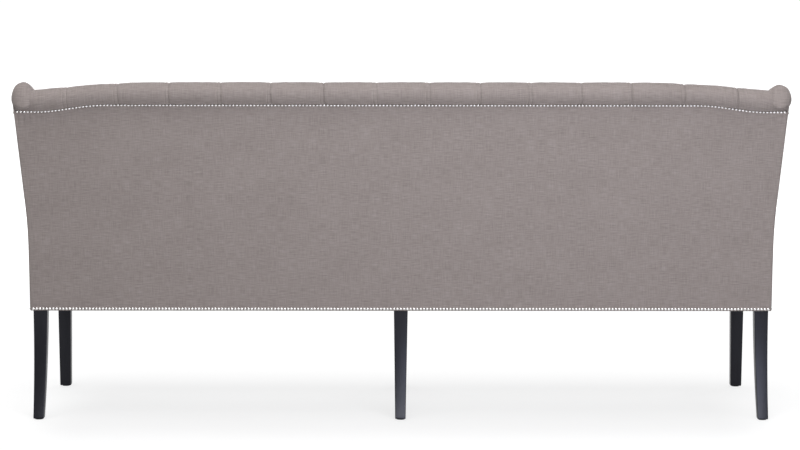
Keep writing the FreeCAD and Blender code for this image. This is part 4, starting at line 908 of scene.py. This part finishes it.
def inner_wing(word, side):
    """Inner pad of the wing: the flank's line moved in by the board and the pad, with a crown of two
    sines and a pull towards the edge roll, then blown up as cloth that is held at its rim."""
    behind, narrowest, wave_high, pull_reach = 0.070, 0.004, 0.0008, 0.015
    crown_start, crown_end, flatness = 0.08, 0.92, 0.6
    t, q = np.meshgrid(np.linspace(0, 1, 90), np.linspace(0, 1, 70), indexing="ij")
    z = APRON_TOP + (INNER_TOP - APRON_TOP) * t
    near, far = wing_front(z), rear_plane(z, behind)
    far = np.maximum(far, near + narrowest)
    y = near + (far - near) * q
    over = np.sin(math.pi * (crown_start + (crown_end - crown_start) * q)) ** flatness
    crown = WING_CROWN * np.sin(math.pi * t) * over
    crown = crown + wave_high * drift(y, z, seed=41, finest=0.05, octaves=4)
    pull = WING_PULL * np.exp(-(y - near) / pull_reach)
    outer = np.stack([side * (flank_at(z) - WING_THICK - crown - pull), y, z], -1)
    inner = np.stack([side * (flank_at(z) - WING_BOARD), y, z], -1)
    outer = outer + billow(outer, inner, step=2, pressure=4.0, cap=0.004)
    points, faces = shell(outer, inner)
    weave = np.concatenate([np.stack([y, z], -1).reshape(-1, 2)] * 2)
    made = piece("inner_wing_pad_" + word, points, faces, LINEN, "upholstery", weave)
    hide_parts("inside_wing_" + word)


# Seat
SEAT_REAR = HEEL_Y - BACK_AT_SEAT / math.cos(RAKE)


def seat_half(y):
    """Half width of the seat: full in front of the wings, then between their pads."""
    return BODY_HALF - SEAT_NARROWING * ease(y, *SEAT_NARROWS)


def seat_section(count):
    """Section of the seat's cover from its front foot over the shoulder and crown to the rear: even
    steps along straight lines between knots, then smoothed by running means."""
    behind, above = np.array(SEAT_KNOTS + ((SEAT_REAR - FRONT_Y, SEAT_REAR_RISE),)).T
    knots = np.stack([FRONT_Y + behind, APRON_TOP + above], -1)
    length = np.concatenate([[0], np.hypot(*np.diff(knots, axis=0).T).cumsum()])
    s = np.linspace(0, length[-1], count)
    y = np.interp(s, length, knots[:, 0])
    z = np.interp(s, length, knots[:, 1])
    smoothings = 12
    for k in range(smoothings):
        y[1:-1] = (y[:-2] + 2 * y[1:-1] + y[2:]) / 4
        z[1:-1] = (z[:-2] + 2 * z[1:-1] + z[2:]) / 4
    return y, z, s


def seat():
    """Tight seat: its section carried along the bench, the ends rounded over a quarter ellipse,
    then blown up from within as cloth that is held along its lower edges."""
    full_rise, upper_share, crown, wave_high, inner_start = 0.06, 0.5, 0.003, 0.0005, 0.010
    y, z, s = seat_section(130)
    p = crowded(300, edge=0.04, share=0.16)[:, None]
    end = np.clip((np.abs(p) - (1 - SEAT_END_SHARE)) / SEAT_END_SHARE, 0, 1)
    drop = quarter(end, SEAT_END_DROP)
    rise = np.clip((z - APRON_TOP) / full_rise, 0, 1)
    top = z + rise * (crown * (1 - p ** 2) - drop * rise ** 2)
    depth = np.broadcast_to(y, top.shape)
    across = p * seat_half(depth)
    wave = wave_high * drift(across, depth, seed=51, finest=0.06, octaves=4)
    top = top + (rise > upper_share) * wave
    outer = np.stack([across, depth, top], -1)
    low = np.broadcast_to(np.linspace(FRONT_Y + inner_start, SEAT_REAR, len(y)), top.shape)
    inner = np.stack([p * seat_half(low), low, np.full_like(low, APRON_TOP)], -1)
    outer = outer + billow(outer, inner, step=3, pressure=4.0, cap=0.006)
    points, faces = shell(outer, inner)
    weave = np.stack(np.broadcast_arrays(across, s), -1).reshape(-1, 2)
    below = weave * (1 + (top.max() - APRON_TOP) / BODY_HALF, 1)
    made = piece("seat_pad", points, faces, LINEN, "upholstery", np.concatenate([weave, below]))
    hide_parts("seat_cover", "seat_foam")


def apron_path(count, inset=0.0):
    """Plan of the apron from the left wing round the front to the right wing, with round corners."""
    radius = 0.012
    half, front, toe = BODY_HALF - inset, FRONT_Y + inset, -0.020
    turn = np.linspace(0, math.pi / 2, 12)
    left = np.stack([-half + radius * (1 - np.cos(turn)), front + radius * (1 - np.sin(turn))], -1)
    side = np.linspace(toe, front + radius, 60, endpoint=False)
    run = np.linspace(-half + radius, half - radius, count)[1:-1]
    right = left[::-1] * (-1, 1)
    return np.concatenate([
        np.stack([np.full_like(side, -half), side], -1), left,
        np.stack([run, np.full_like(run, front)], -1), right,
        np.stack([np.full_like(side, half), side[::-1]], -1)])


def apron():
    """Cover of the seat frame: its plan path carried up from the hem to the seat. A sine crowns it,
    and it draws in at the hem and at the seat."""
    crown, hem_pull, top_pull, top_reach, wave_high = 0.0018, 0.0012, 0.002, 0.004, 0.0005
    over_seam, inner_tall_share, inner_foot, flatness = 0.001, 0.99, 0.0035, 0.7
    outer_plan, inner_plan = apron_path(360), apron_path(360, COVER_WALL)
    t = (crowded(36, edge=0.2, share=0.4) + 1) / 2
    z = (HEM + (APRON_TOP + over_seam - HEM) * t)[:, None]
    middle = np.array([0.0, -0.1])
    step = np.gradient(outer_plan, axis=0)
    step = step / np.linalg.norm(step, axis=1, keepdims=True)
    normal = np.stack([step[:, 1], -step[:, 0]], -1)
    normal = normal * np.sign(((outer_plan - middle) * normal).sum(1, keepdims=True))
    length = np.concatenate([[0], np.linalg.norm(np.diff(outer_plan, axis=0), axis=1).cumsum()])
    swell = crown * np.sin(math.pi * t)[:, None] ** flatness
    swell = swell - hem_pull * np.exp(-(z - HEM) / SINK_REACH)
    swell = swell - top_pull * np.exp(-(APRON_TOP - z) / top_reach)
    swell = swell + wave_high * drift(length[None], z, seed=61, finest=0.10, octaves=3)
    plan = outer_plan[None] + normal[None] * swell[..., None]
    outer = np.stack(np.broadcast_arrays(plan[..., 0], plan[..., 1], z), -1)
    low = z * inner_tall_share + inner_foot
    inner = np.stack(np.broadcast_arrays(inner_plan[:, 0], inner_plan[:, 1], low), -1)
    points, faces = shell(outer, inner)
    weave = np.stack(np.broadcast_arrays(length[None], z), -1).reshape(-1, 2)
    made = piece("apron_cover", points, faces, LINEN, "upholstery", np.concatenate([weave, weave]))
    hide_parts("front_apron", "front_apron_wadding", "side_apron_left", "side_apron_right",
                "side_apron_wadding_left", "side_apron_wadding_right")


def dust_sheet():
    """Thin cloth tacked under the rails: it sags between them with the product of two sines."""
    front, thick = FRONT_Y + 0.012, 0.0006
    x, y = np.meshgrid(np.linspace(-DUST_HALF, DUST_HALF, 160), np.linspace(front, DUST_REAR, 44))
    sag = np.abs(np.sin(math.pi * x / DUST_HALF)) * np.sin(math.pi * (y - y.min()) / np.ptp(y))
    low = np.stack([x, y, DUST_BOTTOM - DUST_SAG * sag], -1)
    high = low + (0, 0, thick)
    points, faces = shell(high, low)
    weave = np.concatenate([np.stack([x, y], -1).reshape(-1, 2)] * 2)
    made = piece("dust_sheet", points, faces, DUST_CLOTH, "dust_cloth", weave)
    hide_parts("dust_cover")


# Legs
def rounded_square(count):
    """Corners of a square of half side 1, each one count times for its round edge, as rows of two
    signs and the direction to add the radius in."""
    turn = np.linspace(0, math.pi / 2, count)
    corners = [(1, 1, 0.0), (-1, 1, math.pi / 2), (-1, -1, math.pi), (1, -1, 3 * math.pi / 2)]
    signs = np.concatenate([np.full((count, 2), (a, b), dtype=float) for a, b, start in corners])
    angle = np.concatenate([turn + start for a, b, start in corners])
    return signs, np.stack([np.cos(angle), np.sin(angle)], -1)


def leg_rings(x_low, x_high, y_low, y_high, z, radius):
    """Rings of a leg between two sides and two faces that vary with height, its edges rounded."""
    signs, way = rounded_square(6)
    radius = radius[:, None]
    cx, cy = ((x_low + x_high) / 2)[:, None], ((y_low + y_high) / 2)[:, None]
    hx, hy = ((x_high - x_low) / 2)[:, None] - radius, ((y_high - y_low) / 2)[:, None] - radius
    x = cx + signs[:, 0] * hx + way[:, 0] * radius
    y = cy + signs[:, 1] * hy + way[:, 1] * radius
    return np.stack([x, y, np.broadcast_to(z[:, None], x.shape)], -1)


def leg_heights():
    """Heights of a leg's rings from its glide up into the frame, and how far the foot's edge is
    eased at each."""
    eased_from, eased_over = 0.0055, 0.0025
    edge, straight, inside = [GLIDE, 0.0036, 0.005], 0.0075, [0.36, 0.42]
    z = np.concatenate([edge, np.linspace(straight, HEM, 44), inside])
    return z, FOOT_ROUND * np.clip((eased_from - z) / eased_over, 0, 1)


def side_faces(side, foot, taper):
    """Positions of a leg's two sides, least tapered where it faces out."""
    middle = side * (BODY_HALF - LEG_INSET - LEG / 2)
    outer, inner = OUTER_TAPER, LEG - foot - OUTER_TAPER
    right, left = (outer, inner) if side >= 0 else (inner, outer)
    return middle - LEG / 2 + left * taper, middle + LEG / 2 - right * taper


def front_leg(word, side):
    """Straight leg that tapers from the apron to the foot."""
    z, trim = leg_heights()
    taper = np.clip((HEM - z) / (HEM - GLIDE), 0, 1)
    low, high = side_faces(side, FRONT_FOOT, taper)
    front = FRONT_Y + LEG_INSET + FRONT_TAPERS[0] * taper
    rear = FRONT_Y + LEG_INSET + LEG - FRONT_TAPERS[1] * taper
    rings = leg_rings(low + trim, high - trim, front + trim, rear - trim, z, np.full_like(z, LEG_EDGE))
    made = piece("front_leg_turned_" + word, *tube(rings), STAINED, "leg_wood")
    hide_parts("front_leg_" + word)


def rear_leg(word, side):
    """Sabre leg: its rear and front faces are arcs that leave the apron upright and sweep back."""
    z, trim = leg_heights()
    drop = HEM - GLIDE
    down = np.clip(HEM - z, 0, None)
    low, high = side_faces(side, REAR_FOOT, down / drop)

    def sweep(reach):
        """How far an arc has swept back at each height, with its whole reach at the foot."""
        radius = (reach ** 2 + drop ** 2) / (2 * reach)
        return radius - np.sqrt(radius ** 2 - down ** 2)

    lift = np.clip(z - HEM, 0, None) * math.tan(RAKE)
    rear = HEEL_Y - LEG_INSET / math.cos(RAKE) + sweep(SWEEPS[0]) + lift
    front = HEEL_Y - (LEG_INSET + LEG) / math.cos(RAKE) + sweep(SWEEPS[1]) + lift
    rings = leg_rings(low + trim, high - trim, front + trim, rear - trim, z, np.full_like(z, LEG_EDGE))
    made = piece("rear_leg_sabre_" + word, *tube(rings), STAINED, "leg_wood")
    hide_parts("rear_leg_" + word)


# Nails
def spaced(path, pitch):
    """Points at equal steps along a path, as near to the pitch as its length allows."""
    length = np.concatenate([[0], np.linalg.norm(np.diff(path, axis=0), axis=1).cumsum()])
    count = int(round(length[-1] / pitch))
    s = (np.arange(count) + 0.5) * length[-1] / count
    return np.stack([np.interp(s, length, path[:, k]) for k in range(3)], -1)


def nails(name, places, normals, *nodes):
    """Domed nails: rings of a flattened sphere set almost square on each place, with a flat cone
    closing them underneath."""
    sink_share, steep = 0.2, 0.9
    dice = np.random.default_rng(len(places))
    count = len(places)
    turn = np.linspace(0, 2 * math.pi, 10, endpoint=False)
    polar = np.radians([97, 78, 56, 34, 14])
    normals = normals / np.linalg.norm(normals, axis=1, keepdims=True)
    normals = normals + dice.normal(0, NAIL_TILT, normals.shape)
    normals = normals / np.linalg.norm(normals, axis=1, keepdims=True)
    helper = np.where(np.abs(normals[:, 2:]) < steep, [[0.0, 0, 1]], [[1.0, 0, 0]])
    across = np.cross(helper, normals)
    across = across / np.linalg.norm(across, axis=1, keepdims=True)
    third = np.cross(normals, across)
    wide = NAIL_RADIUS * np.sin(polar)[:, None]
    a, b = wide * np.cos(turn), wide * np.sin(turn)
    rise = (NAIL_RISE * np.cos(polar))[:, None] + 0 * a
    rings = (places[:, None, None] + a[None, ..., None] * across[:, None, None]
             + b[None, ..., None] * third[:, None, None] + rise[None, ..., None] * normals[:, None, None])
    tips = places + normals * NAIL_RISE
    bases = places - normals * NAIL_RISE * sink_share
    each = len(polar) * len(turn) + 2
    points = np.concatenate([rings.reshape(count, -1, 3), tips[:, None], bases[:, None]], 1)
    wall = grid_faces(len(polar), len(turn), close_columns=True)
    rim = np.arange(len(turn))
    cap = fan_faces(rim + (len(polar) - 1) * len(turn), each - 2)
    base = fan_faces(rim, each - 1)[:, ::-1]
    shift = np.arange(count)[:, None, None] * each
    ends = np.concatenate([cap, base])
    faces = [(wall[None] + shift).reshape(-1, 4), (ends[None] + shift).reshape(-1, 3)]
    made = piece(name, points, faces, NICKEL, "nail_metal")
    if nodes:
        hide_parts(*nodes)


def nail_rows():
    """Rows of nails along the top line, the hem all round and the wings' outer edges. Each row lies
    a little out of its face and ends short of the corners."""
    top_out, hem_out, wing_out, wing_under = 0.0004, 0.0006, 0.0012, 0.001
    top_end, back_end, front_end, side_end, wing_end = 0.006, 0.005, 0.007, 0.006, 0.007
    turned_share = 0.9
    edge = flank(PANEL - DIP_DROP) - top_end
    x = np.linspace(-edge, edge, 900)
    spots = spaced(on_back(x, top_out, PANEL - dip(x) + NAIL_LIFT), TOP_PITCH)
    out = np.broadcast_to([[0.0, math.cos(RAKE), -math.sin(RAKE)]], spots.shape)
    nails("nails_back_top", spots, out, "nail_trim_back_top")
    x = np.linspace(-BODY_HALF + back_end, BODY_HALF - back_end, 400)
    spots = spaced(on_back(x, hem_out, BACK_HEM_ROW), NAIL_PITCH)
    out = np.broadcast_to([[0.0, math.cos(RAKE), -math.sin(RAKE)]], spots.shape)
    nails("nails_back_hem", spots, out, "nail_trim_back_bottom")
    x = np.linspace(-BODY_HALF + front_end, BODY_HALF - front_end, 400)
    spots = spaced(np.stack([x, x * 0 + FRONT_Y, x * 0 + HEM + HEM_ROW], -1), NAIL_PITCH)
    nails("nails_front_hem", spots, np.broadcast_to([[0.0, -1, 0]], spots.shape), "nail_trim_front")
    for word, side in (("left", -1), ("right", 1)):
        y = np.linspace(FRONT_Y + front_end, HEEL_Y - side_end, 400)
        spots = spaced(np.stack([y * 0 + side * BODY_HALF, y, y * 0 + HEM + HEM_ROW], -1), NAIL_PITCH)
        nails("nails_side_hem_" + word, spots, np.broadcast_to([[float(side), 0, 0]], spots.shape),
              "nail_trim_side_" + word)
        forward, up, angle, share = wing_line(300)[:4]
        tall = KNOB_TALL + (TOE_TALL - KNOB_TALL) * share - wing_under
        path = on_wing(forward - tall * np.sin(angle), up - tall * np.cos(angle), 0.0, side)
        path = path[path[:, 1] < rear_plane(path[:, 2]) - wing_end]
        path[:, 0] = side * (flank_at(path[:, 2]) + wing_out)
        spots = spaced(path, WING_PITCH)
        out = np.broadcast_to([[float(side), 0, -FLARE * turned_share]], spots.shape)
        nails("nails_wing_edge_" + word, spots, out)


outside_back()
buttoned_back()
buttons()
for word, side in (("left", -1), ("right", 1)):
    wing_edge_roll(word, side)
    outer_wing(word, side)
    inner_wing(word, side)
seat()
apron()
dust_sheet()
for word, side in (("left", -1), ("middle", 0), ("right", 1)):
    front_leg(word, side)
    rear_leg(word, side)
nail_rows()


# Setting
FLOOR_GLOW_SHARE = 0.61
FLOOR_GLOSS_SHARE = 0.4
# The floor's own white over the distance from a line along X. The first ramp grows it with the distance.
# The second is a painted shadow that darkens the floor just behind the bench. Columns: the line's place
# along Y and half length, the stretch along X, from, to, least, most.
FLOOR_WHITE_AND_PAINTED_SHADOW = ((0.0, 0.0, 1.0, 2.0, 6.0, 1.275, 1.8), (0.33, 0.88, 2.2, 0.06, 0.52, -0.148, 0.0))


def floor():
    """Pale floor. What the camera sees of it is mostly plain white, so its shadows stay faint. That white
    grows by a smooth step with the distance, and a painted shadow darkens it just behind the bench."""
    size = 60
    mesh = bpy.data.meshes.new("floor")
    corners = [(-size, -size, 0), (size, -size, 0), (size, size, 0), (-size, size, 0)]
    mesh.from_pydata(corners, [], [(0, 1, 2, 3)])
    thing = bpy.data.objects.new("floor", mesh)
    bpy.context.scene.collection.objects.link(thing)
    material, tree, surface = shader("pale_floor", (0.55, 0.55, 0.55), 0.9, Specular_IOR_Level=0.0)
    speck = streaks(tree, node(tree, "ShaderNodeTexCoord").outputs["Object"], (3, 3, 3), 3)
    tree.links.new(ramp(tree, speck, ((0.3, (0.54, 0.54, 0.54)), (0.7, (0.56, 0.56, 0.56)))),
                   surface.inputs["Base Color"])
    paths = node(tree, "ShaderNodeLightPath")
    place = node(tree, "ShaderNodeTexCoord").outputs["Object"]
    shares = []
    for line, half, stretch, low, high, least, most in FLOOR_WHITE_AND_PAINTED_SHADOW:
        moved = node(tree, "ShaderNodeMapping", in_Location=(0, -line, 0), in_Scale=(stretch, 1, 1))
        even = node(tree, "ShaderNodeVectorMath", operation="ABSOLUTE")
        past = node(tree, "ShaderNodeVectorMath", operation="SUBTRACT")
        past.inputs[1].default_value = (half * stretch, 0, 0)
        beyond = node(tree, "ShaderNodeVectorMath", operation="MAXIMUM")
        away = node(tree, "ShaderNodeVectorMath", operation="LENGTH")
        reach = node(tree, "ShaderNodeMapRange", interpolation_type="SMOOTHSTEP", in_From_Min=low,
                     in_From_Max=high, in_To_Min=least, in_To_Max=most)
        tree.links.new(place, moved.inputs["Vector"])
        for before, after in zip((moved, even, past, beyond), (even, past, beyond, away)):
            tree.links.new(before.outputs["Vector"], after.inputs[0])
        tree.links.new(away.outputs["Value"], reach.inputs["Value"])
        shares.append(reach.outputs["Result"])
    glow = node(tree, "ShaderNodeEmission", in_Color=(1, 1, 1, 1))
    # The glow's strength is the floor's white plus the painted shadow just behind the bench.
    tree.links.new(join(tree, "ADD", *shares), glow.inputs["Strength"])
    seen = join(tree, "MULTIPLY_ADD", paths.outputs["Is Glossy Ray"], FLOOR_GLOSS_SHARE,
                paths.outputs["Is Camera Ray"])
    seen = join(tree, "MULTIPLY", seen, FLOOR_GLOW_SHARE)
    mix = node(tree, "ShaderNodeMixShader")
    tree.links.new(seen, mix.inputs["Fac"])
    tree.links.new(surface.outputs["BSDF"], mix.inputs[1])
    tree.links.new(glow.outputs["Emission"], mix.inputs[2])
    tree.links.new(mix.outputs["Shader"], tree.nodes["Material Output"].inputs["Surface"])
    mesh.materials.append(material)


def studio():
    """White surround for the camera; a dim one as a light, and a brighter one in gloss."""
    world = bpy.data.worlds.new("studio")
    world.use_nodes = True
    tree = world.node_tree
    tree.nodes.clear()
    out = node(tree, "ShaderNodeOutputWorld")
    paths = node(tree, "ShaderNodeLightPath")
    seen = node(tree, "ShaderNodeBackground", in_Color=(1, 1, 1, 1), in_Strength=1.05)
    light = node(tree, "ShaderNodeBackground", in_Color=(0.96, 0.975, 1.0, 1), in_Strength=0.10)
    gloss = node(tree, "ShaderNodeBackground", in_Color=(0.96, 0.975, 1.0, 1), in_Strength=0.34)
    dim = node(tree, "ShaderNodeMixShader")
    tree.links.new(paths.outputs["Is Glossy Ray"], dim.inputs["Fac"])
    tree.links.new(light.outputs["Background"], dim.inputs[1])
    tree.links.new(gloss.outputs["Background"], dim.inputs[2])
    mix = node(tree, "ShaderNodeMixShader")
    tree.links.new(paths.outputs["Is Camera Ray"], mix.inputs["Fac"])
    tree.links.new(dim.outputs["Shader"], mix.inputs[1])
    tree.links.new(seen.outputs["Background"], mix.inputs[2])
    tree.links.new(mix.outputs["Shader"], out.inputs["Surface"])
    bpy.context.scene.world = world


def light_at(name, kind, place, aim, energy, **values):
    """A light hidden from the camera, turned towards its aim."""
    light = bpy.data.lights.new(name, kind)
    light.energy = energy
    for label, value in values.items():
        setattr(light, label, value)
    thing = bpy.data.objects.new(name, light)
    thing.location = place
    thing.rotation_euler = (Vector(aim) - Vector(place)).to_track_quat("-Z", "Y").to_euler()
    thing.visible_camera = False
    bpy.context.scene.collection.objects.link(thing)


def camera():
    """Camera of the photograph, from a fit to the outline, the nail lines and the feet."""
    focal_px, width_px, sensor = 2663.46, 800, 36
    aside, behind, high = 0.00027, 7.581, 1.3009
    pitch, yaw, roll = 0.098, -0.0003, 0.0008
    data = bpy.data.cameras.new("camera")
    data.sensor_width = sensor
    data.lens = focal_px / width_px * sensor
    data.clip_end = 100
    thing = bpy.data.objects.new("camera", data)
    right = Vector((-math.cos(yaw), math.sin(yaw), 0))
    ahead = Vector((-math.sin(yaw) * math.cos(pitch), -math.cos(yaw) * math.cos(pitch), -math.sin(pitch)))
    up = right.cross(ahead)
    turn = Matrix.Rotation(-roll, 3, ahead)
    right, up = turn @ right, turn @ up
    frame_of = Matrix((right, up, -ahead)).transposed().to_4x4()
    frame_of.translation = Vector((aside, HEEL_Y + behind, high))
    thing.matrix_world = frame_of
    bpy.context.scene.collection.objects.link(thing)
    bpy.context.scene.camera = thing


floor()
studio()
light_at("sky", "SUN", (0.2, 1.0, 4.2), aim=(0, 0, 0), energy=2.10, angle=math.radians(60))
light_at("backdrop", "AREA", (0, -6.5, 2.4), aim=(0, 0, 1.2), energy=760, shape="RECTANGLE", size=16,
         size_y=4.6)
light_at("softbox", "AREA", (-0.33, 2.6, 2.05), aim=(-0.15, 0.3, 0.6), energy=40.5,
         shape="RECTANGLE", size=2.0, size_y=1.0, color=(0.965, 0.98, 0.985))
light_at("corner_lamp", "AREA", (1.35, 0.9, 2.2), aim=(1.0, 0.25, 0.9), energy=3.6,
         shape="RECTANGLE", size=0.8, size_y=0.8)
light_at("low_strip", "AREA", (-0.9, 3.0, 1.08), aim=(-0.6, 0.3, 0.3), energy=20.0,
         shape="RECTANGLE", size=1.7, size_y=1.0, color=(0.80, 0.84, 1.0))
camera()

scene = bpy.context.scene
scene.view_settings.view_transform = "Standard"

bpy.context.view_layer.update()
